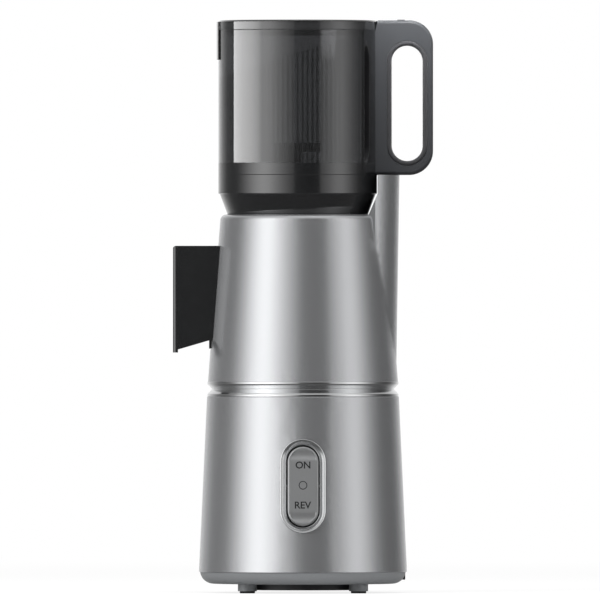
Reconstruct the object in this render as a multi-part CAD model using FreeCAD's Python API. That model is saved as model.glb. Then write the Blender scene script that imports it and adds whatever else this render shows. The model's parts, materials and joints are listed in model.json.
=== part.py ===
import FreeCAD, Part
import math
import os

# A vertical cold press juicer. Millimetres, +Z up, -Y to the front, the origin on the table under the base.

# Heights, one on top of the other
PAD_PROUD = 1.8
GRILLE_CLEAR = 2.5
COVER_CLEAR = 7.6
COVER_HEIGHT = 9.9
BASE_HEIGHT = 147.2
TRIM_HEIGHT = 12.6
BODY_HEIGHT = 140.3
BOWL_CONE_HEIGHT = 17.6
BOWL_RING_HEIGHT = 15.6
HOPPER_HEIGHT = 121.8
LID_HEIGHT = 8.0

# The base's round outer shapes
BASE_FOOT_R = 87.4
BASE_TOP_R = 80.6
COVER_STEP = 1.0
COVER_CURVE = 12.0
TRIM_STEP = 0.3
TRIM_GROOVE = 4.0
TRIM_LIP = 2.1

# The bowl, and what the outer shapes above the base add to it
BOWL_R = 57.2
BOWL_Y = -4.45
NECK_STEP = 1.8
HOPPER_FLARE = 9.5
SHOULDER_STEP = 1.3
BODY_MARGIN = 11.9
BODY_TAPER = 10.7
BODY_EDGE_R = 5.0

# Walls and clearances
SHELL_WALL = 2.5
COVER_WALL = 3.0
FLANGE = 3.0
SLIDE_GAP = 0.3
SEAT_GAP = 0.2
RUN_GAP = 0.05
LIFT_GAP = 0.8

# Rear column of the body
COLUMN_HALF = 38.0
COLUMN_ROUND_R = 46.0
COLUMN_ROOT = 20.0
COLUMN_DEPTH = 18.85
COLUMN_STEP = 1.5
COLUMN_CLEAR = 0.6

# Feet, vent plate and case bolts
FOOT_X = 46.6
POST_R = 8.0
PAD_R = 6.4
PAD_RECESS = 2.0
GRILLE_R = 54.6
GRILLE_WALL = 2.5
GRILLE_RIM = 3.0
VENT_R = 46.0
VENT_HUB_R = 15.0
VENT_SLOTS = 24
VENT_SLOT = 3.0
PILLAR_R = 6.0
BOLT_R = 2.0
BOLT_HEAD_R = 3.6
BOLT_HEAD = 3.5
BOLT_GRIP = 11.0
STANDOFF_R = 3.5
DECK_SCREW = 8.0
COVER_SPIGOT = 5.0

# Motor, hung under the chassis plate
CHASSIS_CLEAR = 93.4
CHASSIS_THICK = 3.0
CHASSIS_GAP = 4.6
MOTOR_R = 34.0
MOTOR_WALL = 2.0
MOTOR_LENGTH = 71.0
BELL = 5.0
STATOR_LENGTH = 34.0
STATOR_TO_BELL = 14.0
AIR_GAP = 0.6
ROTOR_R = 17.0
WINDING_R = 29.0
WINDING_BORE = 20.0
WINDING_LENGTH = 9.0
MOTOR_SHAFT_R = 3.0
MOTOR_BEARING_R = 8.0
FAN_R = 28.0
FAN_HUB_R = 7.0
FAN_BLADES = 9
FAN_HEIGHT = 9.0
FAN_BLADE = 1.6
SHAFT_TAIL = 13.0

# Gearbox
FAST_MODULE = 1.0
SLOW_MODULE = 1.25
MOTOR_TEETH = 12
WHEEL_TEETH = 60
PINION_TEETH = 12
OUTPUT_TEETH = 54
PRESSURE_ANGLE = math.radians(20.0)
BACKLASH = 0.25
ADDENDUM = 0.75
DEDENDUM = 1.1
MOTOR_ANGLE = math.radians(30.0)
CASE_FLOOR = 5.0
CASE_WALL = 2.5
CASE_COVER = 4.0
GEAR_AIR = 1.5
WHEEL_WIDTH = 10.0
OUTPUT_WIDTH = 14.0
STAGE_GAP = 3.0
WHEEL_LIFT = 1.0
PINION_HUB_R = 4.6
IDLER_PIN_R = 3.0
CASE_BOSS_R = 4.0
CASE_SCREW_R = 1.5
CASE_SCREW_HEAD_R = 3.0
CASE_SCREW_HEAD = 2.5
OUTPUT_BEARING_R = 10.5
OUTPUT_BEARING = 6.0
BEARING_BOSS_R = 13.0

# Drive shaft and deck
SHAFT_R = 6.0
HEX_FLATS = 10.0
HEX_LENGTH = 32.0
HEX_START = 12.7
DECK_PLATE = 5.0
DECK_STEP = 5.9
DECK_SKIRT = 3.7
DECK_BOSS_R = 15.0
DECK_BOSS = 10.7
SHAFT_SEAL_R = 11.0
SHAFT_SEAL = 7.0
FLANGE_CLEAR = 6.1

# Bowl, strainer and auger
BOWL_WALL = 2.6
BOWL_LIFT_OFF_DECK = 22.7
BOWL_FLOOR = 4.0
BOWL_BOSS_R = 14.0
BOWL_BOSS = 6.0
BOWL_SEAL_R = 11.0
WELL_WALL = 1.9
STRAINER_GAP = 2.4
STRAINER_WALL = 1.2
STRAINER_HEIGHT = 96.0
STRAINER_FLOOR = 1.5
STRAINER_SLOTS = 20
STRAINER_SLOT = 5.0
STRAINER_BAND = 8.0
AUGER_LIFT = 1.0
AUGER_GAP = 2.0
AUGER_TOP_R = 14.0
FLIGHT_FOOT = 12.0
FLIGHT_TOP = 6.0
FLIGHTS = 2
FLIGHT_TWIST = math.radians(250.0)
AUGER_SECTIONS = 12
BUSH_R = 8.0
BUSH_HEIGHT = 24.0
KNIFE_THICK = 4.0
KNIFE_ARM = 7.6
KNIFE_HEIGHT = 16.8
KNIFE_FRONT = 20.2
KNIFE_BACK = 21.3
KNIFE_NOTCH = 2.4
KNIFE_STEM_R = 3.0
KNIFE_STEM = 12.0

# Outlets: a hood at the front for the juice and a chute at the side for the pulp
OUTLET_WALL = 2.0
HOOD_HALF = 14.5
HOOD_DEPTH = 29.4
HOOD_RISE = 114.0
HOOD_LIP_RISE = 24.4
HOOD_LIP_THICK = 4.2
HOOD_RIM = 2.5
HOOD_RIM_RISE = 8.5 / 29.1
HOOD_EDGE_R = 2.5
CHUTE_HALF = 16.0
CHUTE_DEPTH = 23.2
CHUTE_RISE = 72.7
CHUTE_LIP_RISE = 21.7
DUCT_HALF = 7.5
DUCT_HEIGHT = 13.0
DUCT_WALL = 2.0
DUCT_RISE = 3.0
DUCT_START = 30.0

# Hopper, handle and lid
HOPPER_WALL = 3.0
HOPPER_FLOOR = 10.1
THROAT_WALL = 6.6
SPIGOT_GAP = 1.0
SPIGOT = 9.8
HOPPER_SEAL = 3.0
HOPPER_SEAL_DEPTH = 1.2
HANDLE_HALF = 14.0
HANDLE_RAIL = 8.7
HANDLE_CORNER_R = 20.0
HANDLE_ROOT = 40.0
HANDLE_EDGE_R = 3.0
GRIP_WALL = 12.25
GRIP_DEPTH = 26.0
GRIP_RISE = 11.7
GRIP_DROP = 13.2
GRIP_LINING = 4.0
GRIP_PROUD = 0.4
TONGUE_HALF = 5.0
TONGUE_DEPTH = 3.0
TONGUE_DROP = 7.8
TONGUE_BEHIND = 9.75
LID_LIP = 4.0
LID_LIP_WALL = 2.6
LID_CLEAR = 0.6
LID_SWING_GAP = 1.7
LID_EDGE_R = 1.2
TAB_HALF = 14.0
TAB_DROP = 25.2
TAB_THICK = 1.2
HINGE_BEHIND = 3.95
HINGE_DROP = 3.1
KNUCKLE_R = 3.0
KNUCKLE_HALF = 7.5
NOTCH_AIR = 0.8
HINGE_PIN_R = 1.5
HINGE_PIN_HALF = 11.5
SCREW_R = 1.5
SCREW_HEAD_R = 3.0
SCREW_HEAD = 2.0
SCREW_BITE = 2.2
SCREW_RISES = (34.2, 89.2)

# Button on the handle
BUTTON_BEHIND = 20.15
BUTTON_HALF_X = 6.0
BUTTON_HALF_Y = 3.2
BUTTON_PROUD = 0.6
BUTTON_STEM = 2.3
BUTTON_FLANGE = 1.7
BUTTON_FLANGE_HEIGHT = 1.7
SPRING_LENGTH = 7.0
SPRING_R = 3.0
SPRING_WALL = 0.8

# Interlock in the top of the column
CAP_THICK = 3.0
GUIDE_HALF = 8.0
GUIDE_DEPTH = 5.0
GUIDE_LENGTH = 17.8
PLUNGER_R = 3.0
PLUNGER_LENGTH = 16.0
BRACKET_PLATE = 1.5
PLUNGER_SPRING = 9.0
MICROSWITCH_HALF = 5.5
MICROSWITCH_HEIGHT = 16.0

# Switch on the side of the base
SWITCH_RISE = 72.5
BEZEL_WIDTH = 38.0
BEZEL_HEIGHT = 78.7
BEZEL_PROUD = 1.2
BEZEL_LIP = 0.9
BEZEL_BACK = 2.6
BEZEL_DISH = 2.0
SWITCH_GAP = 1.0
ROCKER_WIDTH = 26.0
ROCKER_HEIGHT = 66.5
ROCKER_END_GAP = 1.25
ROCKER_PROUD = 0.9
ROCKER_DEPTH = 9.0
ROCKER_PIVOT = 8.0
ROCKER_PIN_R = 1.5
SWITCH_BODY_WALL = 1.2
SWITCH_BODY_DEPTH = 24.0
SWITCH_CAVITY = 15.0
SWITCH_HOLE_GAP = 0.3
SWITCH_NOTCH_GAP = 2.0

# Cord gland and control board
GLAND_R = 5.5
GLAND_BORE_R = 3.6
GLAND_DROP = 1.1
GLAND_SHY = 1.5
GLAND_LENGTH = 8.0
GLAND_FLANGE_R = 7.5
GLAND_FLANGE = 2.0
BOARD_HALF = 30.0
BOARD_THICK = 1.6
BOARD_HEIGHT = 52.0
BOARD_Y = -55.0
BOARD_RAIL = 4.0
RAIL_HALF_X = 2.0
RAIL_HALF_Y = 2.5
BOARD_PART = 12.0

# Levels worked out from the heights
COVER_TOP = COVER_CLEAR + COVER_HEIGHT
FLOOR_Z = COVER_CLEAR + COVER_WALL
BASE_TOP = COVER_TOP + BASE_HEIGHT
BODY_BOTTOM = BASE_TOP + TRIM_HEIGHT
BODY_TOP = BODY_BOTTOM + BODY_HEIGHT
RING_BOTTOM = BODY_TOP + BOWL_CONE_HEIGHT
HOPPER_BOTTOM = RING_BOTTOM + BOWL_RING_HEIGHT
LID_BOTTOM = HOPPER_BOTTOM + HOPPER_HEIGHT
LID_TOP = LID_BOTTOM + LID_HEIGHT
CHASSIS_Z = FLOOR_Z + CHASSIS_CLEAR
CASE_Z = CHASSIS_Z + CHASSIS_THICK
WHEEL_Z = CASE_Z + CASE_FLOOR + WHEEL_LIFT
OUTPUT_Z = WHEEL_Z + WHEEL_WIDTH + STAGE_GAP
CASE_TOP = OUTPUT_Z + OUTPUT_WIDTH + STAGE_GAP
COVER_PLATE_TOP = CASE_TOP + CASE_COVER
BOWL_BOTTOM = BODY_BOTTOM + BOWL_LIFT_OFF_DECK
BOWL_INSIDE = BOWL_BOTTOM + BOWL_FLOOR
AUGER_BOTTOM = BOWL_INSIDE + STRAINER_FLOOR + AUGER_LIFT
AUGER_TOP = HOPPER_BOTTOM + HOPPER_FLOOR + SEAT_GAP
HINGE_Z = LID_TOP - HINGE_DROP
DUCT_Z = BOWL_INSIDE + DUCT_RISE
HOOD_TOP = BODY_BOTTOM + HOOD_RISE
HOOD_LIP = BODY_BOTTOM + HOOD_LIP_RISE
CHUTE_TOP = BODY_BOTTOM + CHUTE_RISE
CHUTE_LIP = BODY_BOTTOM + CHUTE_LIP_RISE
GRIP_BOTTOM = HOPPER_BOTTOM + GRIP_RISE
GRIP_TOP = LID_BOTTOM - GRIP_DROP
SCREW_HEIGHTS = [HOPPER_BOTTOM + rise for rise in SCREW_RISES]
SWITCH_Z = COVER_TOP + SWITCH_RISE
GLAND_Z = COVER_TOP - GLAND_DROP

# Radii worked out from the base and the bowl
COVER_RIM_R = BASE_FOOT_R - COVER_STEP
COVER_FLAT_R = COVER_RIM_R - COVER_CURVE
TRIM_LIP_R = BASE_TOP_R - TRIM_STEP
CHASSIS_R = BASE_TOP_R - CHASSIS_GAP
DECK_R = BASE_TOP_R - DECK_STEP
BASE_FLANGE_BORE = DECK_R - DECK_SKIRT
BODY_TOP_R = BOWL_R + BODY_MARGIN
BODY_FOOT_R = BODY_TOP_R + BODY_TAPER
WELL_BORE_R = BOWL_R + LIFT_GAP
WELL_R = WELL_BORE_R + WELL_WALL
BODY_FLANGE_BORE = WELL_R + FLANGE_CLEAR
BOWL_NECK_R = BOWL_R + NECK_STEP
HOPPER_R = BOWL_R + HOPPER_FLARE
BOWL_SHOULDER_R = HOPPER_R - SHOULDER_STEP
STRAINER_R = BOWL_R - BOWL_WALL - STRAINER_GAP
AUGER_FOOT_R = STRAINER_R - STRAINER_WALL - AUGER_GAP - FLIGHT_FOOT
SPIGOT_R = BOWL_R - BOWL_WALL - SPIGOT_GAP
THROAT_R = SPIGOT_R - THROAT_WALL
COLUMN_FRONT_R = HOPPER_R + COLUMN_CLEAR

# Places in plan
OUTPUT_AXIS = (0.0, BOWL_Y)
SLOW_CENTRES = SLOW_MODULE * (PINION_TEETH + OUTPUT_TEETH) / 2
FAST_CENTRES = FAST_MODULE * (MOTOR_TEETH + WHEEL_TEETH) / 2
IDLER_AXIS = (-SLOW_CENTRES, BOWL_Y)
MOTOR_AXIS = (IDLER_AXIS[0] + FAST_CENTRES * math.cos(MOTOR_ANGLE),
              IDLER_AXIS[1] + FAST_CENTRES * math.sin(MOTOR_ANGLE))
FEET = [(sx * FOOT_X, sy * FOOT_X) for sx in (-1, 1) for sy in (-1, 1)]
HOPPER_BACK = BOWL_Y + HOPPER_R
COLUMN_BACK_TOP = HOPPER_BACK + COLUMN_DEPTH
COLUMN_BACK_FOOT = BODY_FOOT_R - COLUMN_STEP
HOOD_REACH = BODY_FOOT_R + HOOD_DEPTH
CHUTE_REACH = BODY_FOOT_R + CHUTE_DEPTH
GRIP_FRONT = HOPPER_BACK + GRIP_WALL
GRIP_BACK = GRIP_FRONT + GRIP_DEPTH
HANDLE_BACK = GRIP_BACK + HANDLE_RAIL
TONGUE_Y = HOPPER_BACK + TONGUE_BEHIND
HINGE_Y = HOPPER_BACK + HINGE_BEHIND
BUTTON_Y = HOPPER_BACK + BUTTON_BEHIND
GLAND_END = BASE_FOOT_R - GLAND_SHY
SWITCH_TILT = math.degrees(math.atan((BASE_FOOT_R - BASE_TOP_R) / BASE_HEIGHT))


def point(x, y, z):
    return FreeCAD.Vector(x, y, z)


def disc(radius, bottom, top, centre=(0.0, 0.0)):
    """A solid cylinder standing on its end."""
    return Part.makeCylinder(radius, top - bottom, point(centre[0], centre[1], bottom))


def tube(outer, inner, bottom, top, centre=(0.0, 0.0)):
    return disc(outer, bottom, top, centre).cut(disc(inner, bottom - 1, top + 1, centre))


def block(x0, x1, y0, y1, z0, z1):
    return Part.makeBox(x1 - x0, y1 - y0, z1 - z0, point(x0, y0, z0))


def bar(radius, y0, y1, x, z):
    """A round bar lying front to back."""
    return Part.makeCylinder(radius, y1 - y0, point(x, y0, z), point(0, 1, 0))


def cross_pin(radius, half, y, z):
    """A round pin lying side to side."""
    return Part.makeCylinder(radius, 2 * half, point(-half, y, z), point(1, 0, 0))


def cone(foot_r, top_r, bottom, top, centre=(0.0, 0.0)):
    return Part.makeCone(foot_r, top_r, top - bottom, point(centre[0], centre[1], bottom))


def joined(shapes):
    solid = shapes[0].fuse(shapes[1:])
    return solid.removeSplitter()


def turned(corners, centre=(0.0, 0.0)):
    """A solid of revolution about a vertical axis from (radius, height) corners."""
    ring = [point(centre[0] + r, centre[1], z) for r, z in corners]
    face = Part.Face(Part.makePolygon(ring + [ring[0]]))
    return face.revolve(point(centre[0], centre[1], 0), point(0, 0, 1), 360)


def base_r(z):
    return BASE_FOOT_R + (BASE_TOP_R - BASE_FOOT_R) * (z - COVER_TOP) / BASE_HEIGHT


def body_r(z):
    return BODY_FOOT_R + (BODY_TOP_R - BODY_FOOT_R) * (z - BODY_BOTTOM) / BODY_HEIGHT


def body_cone(extra, bottom=BODY_BOTTOM, top=BODY_TOP):
    return cone(body_r(bottom) + extra, body_r(top) + extra, bottom, top)


def save(name, shape):
    shape.exportStep("parts/" + name + ".step")


# Bottom cover, vent plate and feet
def cover_profile(inset):
    """The bowl-shaped cover's outline in the XZ plane, closed on its axis."""
    low = COVER_CLEAR + inset
    flat = point(COVER_FLAT_R - inset / 2, 0, low)
    rim = point(COVER_RIM_R - inset, 0, COVER_TOP)
    slope = math.radians(-52.0)
    centre_r = flat.x
    reach = rim.x - centre_r
    rise = rim.z - low
    middle = point(centre_r + reach * math.cos(slope), 0, rim.z + rise * math.sin(slope))
    edges = [Part.LineSegment(point(0, 0, low), flat).toShape(),
             Part.Arc(flat, middle, rim).toShape(),
             Part.LineSegment(rim, point(0, 0, COVER_TOP)).toShape(),
             Part.LineSegment(point(0, 0, COVER_TOP), point(0, 0, low)).toShape()]
    face = Part.Face(Part.Wire(edges))
    return face.revolve(point(0, 0, 0), point(0, 0, 1), 360)


def gland_shape():
    start = GLAND_END - GLAND_LENGTH
    neck = bar(GLAND_R, start, GLAND_END, 0, GLAND_Z)
    flange = bar(GLAND_FLANGE_R, start, start + GLAND_FLANGE, 0, GLAND_Z)
    return neck.fuse(flange)


def bottom_cover():
    dish = cover_profile(0).cut(cover_profile(COVER_WALL))
    spigot_r = base_r(COVER_TOP + COVER_SPIGOT) - SHELL_WALL - SEAT_GAP
    spigot = tube(spigot_r, spigot_r - SHELL_WALL, COVER_TOP - COVER_WALL, COVER_TOP + COVER_SPIGOT)
    shapes = [dish, spigot.cut(cover_profile(0).cut(cover_profile(COVER_WALL)))]
    for place in FEET:
        shapes.append(disc(POST_R, PAD_PROUD, COVER_CLEAR + COVER_WALL, place))
        shapes.append(disc(PILLAR_R, COVER_CLEAR, CHASSIS_Z, place))
    for side in (-1, 1):
        x = side * BOARD_HALF
        shapes.append(block(x - RAIL_HALF_X, x + RAIL_HALF_X, BOARD_Y - RAIL_HALF_Y, BOARD_Y + RAIL_HALF_Y,
                            COVER_CLEAR + 1, FLOOR_Z + BOARD_RAIL))
    solid = joined(shapes)
    for place in FEET:
        head_top = PAD_PROUD + PAD_RECESS + BOLT_HEAD
        solid = solid.cut(disc(PAD_R, PAD_PROUD - 1, PAD_PROUD + PAD_RECESS, place))
        solid = solid.cut(disc(BOLT_HEAD_R + SEAT_GAP, PAD_PROUD, head_top, place))
        solid = solid.cut(disc(BOLT_R + SEAT_GAP, PAD_PROUD, CHASSIS_Z + 1, place))
    solid = solid.cut(disc(VENT_R, 0, FLOOR_Z + 1))
    rail = BOARD_HALF - 1
    solid = solid.cut(block(-rail, rail, BOARD_Y - BOARD_THICK / 2, BOARD_Y + BOARD_THICK / 2,
                            FLOOR_Z, FLOOR_Z + BOARD_RAIL + 1))
    start = GLAND_END - GLAND_LENGTH
    solid = solid.cut(bar(GLAND_FLANGE_R, start, start + GLAND_FLANGE, 0, GLAND_Z))
    return solid.cut(bar(GLAND_R, start, GLAND_END + GLAND_LENGTH, 0, GLAND_Z))


def vent_grille():
    plate = disc(GRILLE_R, GRILLE_CLEAR, COVER_CLEAR)
    hollow = disc(GRILLE_R - GRILLE_RIM, GRILLE_CLEAR + GRILLE_WALL, COVER_CLEAR + 1)
    collar = tube(VENT_R, VENT_R - GRILLE_RIM, GRILLE_CLEAR + 1, FLOOR_Z)
    solid = joined([plate.cut(hollow), collar])
    slots = []
    for i in range(VENT_SLOTS):
        slot = block(VENT_HUB_R, VENT_R - GRILLE_RIM - 2, -VENT_SLOT / 2, VENT_SLOT / 2, 0, COVER_CLEAR)
        slot.rotate(point(0, 0, 0), point(0, 0, 1), i * 360.0 / VENT_SLOTS)
        slots.append(slot)
    return solid.cut(slots)


def foot_pads():
    return Part.makeCompound([disc(PAD_R, 0, PAD_PROUD + PAD_RECESS, place) for place in FEET])


def case_bolts():
    bolts = []
    for place in FEET:
        seat = PAD_PROUD + PAD_RECESS
        head = disc(BOLT_HEAD_R, seat, seat + BOLT_HEAD, place)
        shank = disc(BOLT_R, seat, CHASSIS_Z + BOLT_GRIP, place)
        bolts.append(head.fuse(shank))
    return Part.makeCompound(bolts)


def deck_standoffs():
    posts = []
    for place in FEET:
        post = disc(STANDOFF_R, CASE_Z, BODY_BOTTOM - DECK_PLATE, place)
        post = post.cut(disc(BOLT_R, CASE_Z - 1, CHASSIS_Z + BOLT_GRIP, place))
        posts.append(post.cut(disc(BOLT_R, BODY_BOTTOM - DECK_PLATE - DECK_SCREW, BODY_BOTTOM, place)))
    return Part.makeCompound(posts)


def deck_screws():
    screws = []
    for place in FEET:
        head = disc(BOLT_HEAD_R, BODY_BOTTOM - CASE_SCREW_HEAD, BODY_BOTTOM, place)
        shank = disc(BOLT_R, BODY_BOTTOM - DECK_PLATE - DECK_SCREW, BODY_BOTTOM, place)
        screws.append(head.fuse(shank))
    return Part.makeCompound(screws)


# Outer housings
def stadium(width, height, x):
    """An upright outline with round ends in a plane of constant x."""
    r = width / 2
    reach = height / 2 - r
    edges = [Part.LineSegment(point(x, -r, -reach), point(x, -r, reach)).toShape(),
             Part.Arc(point(x, -r, reach), point(x, 0, reach + r), point(x, r, reach)).toShape(),
             Part.LineSegment(point(x, r, reach), point(x, r, -reach)).toShape(),
             Part.Arc(point(x, r, -reach), point(x, 0, -reach - r), point(x, -r, -reach)).toShape()]
    return Part.Wire(edges)


def stadium_block(width, height, x0, x1):
    return Part.Face(stadium(width, height, x0)).extrude(point(x1 - x0, 0, 0))


def stadium_funnel(width, height, x0, wide, high, x1):
    return Part.makeLoft([stadium(width, height, x0), stadium(wide, high, x1)], True, True)


def on_switch(shape):
    """Carries a switch piece from its own axes, +X outwards, to the sloping wall of the base."""
    shape.rotate(point(0, 0, 0), point(0, 1, 0), -SWITCH_TILT)
    shape.translate(point(base_r(SWITCH_Z), 0, SWITCH_Z))
    return shape


SWITCH_BODY_W = ROCKER_WIDTH + 2 * SWITCH_GAP + 2 * SWITCH_BODY_WALL
SWITCH_BODY_H = ROCKER_HEIGHT + 2 * ROCKER_END_GAP + 2 * SWITCH_BODY_WALL


def base_housing():
    outer = cone(BASE_FOOT_R, BASE_TOP_R, COVER_TOP, BASE_TOP)
    flange_z = BASE_TOP - FLANGE
    inner = cone(BASE_FOOT_R - SHELL_WALL, base_r(flange_z) - SHELL_WALL, COVER_TOP, flange_z)
    shell = outer.cut(inner).cut(disc(BASE_FLANGE_BORE, flange_z - 1, BASE_TOP + 1))
    hole_w = SWITCH_BODY_W + 2 * SWITCH_HOLE_GAP
    hole_h = SWITCH_BODY_H + 2 * SWITCH_HOLE_GAP
    shell = shell.cut(on_switch(stadium_block(hole_w, hole_h, -20, 10)))
    start = GLAND_END - GLAND_LENGTH
    shell = shell.cut(bar(GLAND_R, start, GLAND_END + GLAND_LENGTH, 0, GLAND_Z))
    return shell.cut(bar(GLAND_FLANGE_R, start, start + GLAND_FLANGE, 0, GLAND_Z))


def trim_ring():
    lip_low = BASE_TOP + TRIM_LIP
    lip_high = BODY_BOTTOM - TRIM_LIP
    middle = (lip_low + lip_high) / 2
    bore = DECK_R + SLIDE_GAP
    return turned([(bore, BASE_TOP), (TRIM_LIP_R, BASE_TOP), (TRIM_LIP_R, lip_low),
                   (TRIM_LIP_R - TRIM_GROOVE, middle), (TRIM_LIP_R, lip_high),
                   (TRIM_LIP_R, BODY_BOTTOM), (bore, BODY_BOTTOM)])


def column_section(inset, back, z):
    half = COLUMN_HALF - inset
    r = COLUMN_ROUND_R - inset
    rear = back - inset
    side = rear - r + math.sqrt(r * r - half * half)
    a = point(-half, COLUMN_ROOT, z)
    b = point(-half, side, z)
    c = point(half, side, z)
    d = point(half, COLUMN_ROOT, z)
    edges = [Part.LineSegment(a, b).toShape(),
             Part.Arc(b, point(0, rear, z), c).toShape(),
             Part.LineSegment(c, d).toShape(),
             Part.LineSegment(d, a).toShape()]
    return Part.Wire(edges)


def column(inset):
    low = column_section(inset, COLUMN_BACK_FOOT, BODY_BOTTOM)
    high = column_section(inset, COLUMN_BACK_TOP, HOPPER_BOTTOM)
    return Part.makeLoft([low, high], True, True)


def rounded_body():
    """The body's outer cone with its rounded upper edge."""
    start = BODY_TOP - BODY_EDGE_R
    wall = point(body_r(start), 0, start)
    brim = point(body_r(start) - BODY_EDGE_R, 0, BODY_TOP)
    lean = BODY_EDGE_R * (1 - math.cos(math.radians(45)))
    middle = point(wall.x - lean, 0, BODY_TOP - lean)
    edges = [Part.LineSegment(point(0, 0, BODY_BOTTOM), point(BODY_FOOT_R, 0, BODY_BOTTOM)).toShape(),
             Part.LineSegment(point(BODY_FOOT_R, 0, BODY_BOTTOM), wall).toShape(),
             Part.Arc(wall, middle, brim).toShape(),
             Part.LineSegment(brim, point(0, 0, BODY_TOP)).toShape(),
             Part.LineSegment(point(0, 0, BODY_TOP), point(0, 0, BODY_BOTTOM)).toShape()]
    face = Part.Face(Part.Wire(edges))
    return face.revolve(point(0, 0, 0), point(0, 0, 1), 360)


def duct_holes():
    """The openings that both ducts pass through, a little larger than the ducts."""
    half = DUCT_HALF + DUCT_WALL + SLIDE_GAP
    low = DUCT_Z - DUCT_WALL - SLIDE_GAP
    high = DUCT_Z + DUCT_HEIGHT + DUCT_WALL + SLIDE_GAP
    front = block(-half, half, -BODY_FOOT_R - 5, BOWL_Y - DUCT_START, low, high)
    side = block(-BODY_FOOT_R - 5, -DUCT_START, BOWL_Y - half, BOWL_Y + half, low, high)
    return [front, side]


def before_column(wall, bottom):
    """All that lies before the column's face, which leans with the bowl's cone, moved back by a wall."""
    neck_y = BOWL_Y + BOWL_NECK_R + COLUMN_CLEAR + wall
    face_y = BOWL_Y + COLUMN_FRONT_R + wall
    half = 2 * COLUMN_HALF
    top = HOPPER_BOTTOM + 1
    side = [(-BODY_FOOT_R, bottom), (neck_y, bottom), (neck_y, BODY_TOP), (face_y, RING_BOTTOM),
            (face_y, top), (-BODY_FOOT_R, top)]
    if bottom == BODY_TOP:
        side.pop(2)
    ring = [point(-half, y, z) for y, z in side]
    return Part.Face(Part.makePolygon(ring + [ring[0]])).extrude(point(2 * half, 0, 0))


def body_housing():
    axis = OUTPUT_AXIS
    clear = before_column(0, BODY_TOP)
    outer = joined([rounded_body(), column(0).cut(clear)])
    roof = BODY_TOP - SHELL_WALL
    inner_cone = cone(body_r(BODY_BOTTOM + FLANGE) - SHELL_WALL, body_r(roof) - SHELL_WALL - 2,
                      BODY_BOTTOM + FLANGE, roof)
    keep = before_column(SHELL_WALL, roof)
    inner_column = column(SHELL_WALL).cut(keep).cut(disc(100, BODY_BOTTOM - 1, BODY_BOTTOM + FLANGE))
    shell = outer.cut(inner_cone.fuse(inner_column))
    shell = shell.cut(disc(BODY_FLANGE_BORE, BODY_BOTTOM - 1, BODY_BOTTOM + FLANGE + 1))
    shell = shell.cut(disc(WELL_R, roof - 1, BODY_TOP + 1, axis))
    return shell.cut(duct_holes())


def chamber_well():
    return tube(WELL_R, WELL_BORE_R, BODY_BOTTOM, BODY_TOP, OUTPUT_AXIS).cut(duct_holes())


def deck():
    plate_z = BODY_BOTTOM - DECK_PLATE
    plate = disc(DECK_R, plate_z, BODY_BOTTOM)
    skirt = tube(DECK_R, DECK_R - DECK_SKIRT, BASE_TOP, plate_z)
    boss = disc(DECK_BOSS_R, plate_z, BODY_BOTTOM + DECK_BOSS, OUTPUT_AXIS)
    solid = joined([plate, skirt, boss])
    solid = solid.cut(disc(SHAFT_R + 1, plate_z - 1, BODY_BOTTOM + DECK_BOSS + 1, OUTPUT_AXIS))
    top = BODY_BOTTOM + DECK_BOSS
    solid = solid.cut(disc(SHAFT_SEAL_R, top - SHAFT_SEAL, top + 1, OUTPUT_AXIS))
    for place in FEET:
        solid = solid.cut(disc(BOLT_HEAD_R, BODY_BOTTOM - CASE_SCREW_HEAD, BODY_BOTTOM + 1, place))
        solid = solid.cut(disc(BOLT_R, plate_z - 1, BODY_BOTTOM, place))
    return solid


def shaft_seal():
    top = BODY_BOTTOM + DECK_BOSS
    return tube(SHAFT_SEAL_R, SHAFT_R + RUN_GAP, top - SHAFT_SEAL, top, OUTPUT_AXIS)


# Motor
def chassis_plate():
    plate = disc(CHASSIS_R, CHASSIS_Z, CASE_Z)
    plate = plate.cut(disc(MOTOR_BEARING_R, CHASSIS_Z - 1, CASE_Z + 1, MOTOR_AXIS))
    for place in FEET:
        plate = plate.cut(disc(BOLT_R, CHASSIS_Z - 1, CASE_Z + 1, place))
    for place in case_boss_places():
        plate = plate.cut(disc(CASE_SCREW_R, CHASSIS_Z - 1, CASE_Z + 1, place))
    notch = SWITCH_BODY_W / 2 + SWITCH_NOTCH_GAP
    back = base_r(SWITCH_Z) - SWITCH_BODY_DEPTH - SWITCH_NOTCH_GAP
    return plate.cut(block(back, CHASSIS_R + 1, -notch, notch, CHASSIS_Z - 1, CASE_Z + 1))


MOTOR_BOTTOM = CHASSIS_Z - MOTOR_LENGTH


def motor_can():
    return tube(MOTOR_R, MOTOR_R - MOTOR_WALL, MOTOR_BOTTOM + BELL, CHASSIS_Z - BELL, MOTOR_AXIS)


def motor_bell(bottom):
    return tube(MOTOR_R, MOTOR_BEARING_R, bottom, bottom + BELL, MOTOR_AXIS)


def motor_bearings():
    bore = MOTOR_SHAFT_R + RUN_GAP
    low = tube(MOTOR_BEARING_R, bore, MOTOR_BOTTOM, MOTOR_BOTTOM + BELL, MOTOR_AXIS)
    high = tube(MOTOR_BEARING_R, bore, CHASSIS_Z - BELL, CHASSIS_Z, MOTOR_AXIS)
    return Part.makeCompound([low, high])


STATOR_Z = MOTOR_BOTTOM + BELL + STATOR_TO_BELL


def stator_core():
    return tube(MOTOR_R - MOTOR_WALL, ROTOR_R + AIR_GAP, STATOR_Z, STATOR_Z + STATOR_LENGTH, MOTOR_AXIS)


def stator_windings():
    low = tube(WINDING_R, WINDING_BORE, STATOR_Z - WINDING_LENGTH, STATOR_Z, MOTOR_AXIS)
    top = STATOR_Z + STATOR_LENGTH
    high = tube(WINDING_R, WINDING_BORE, top, top + WINDING_LENGTH, MOTOR_AXIS)
    return Part.makeCompound([low, high])


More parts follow.
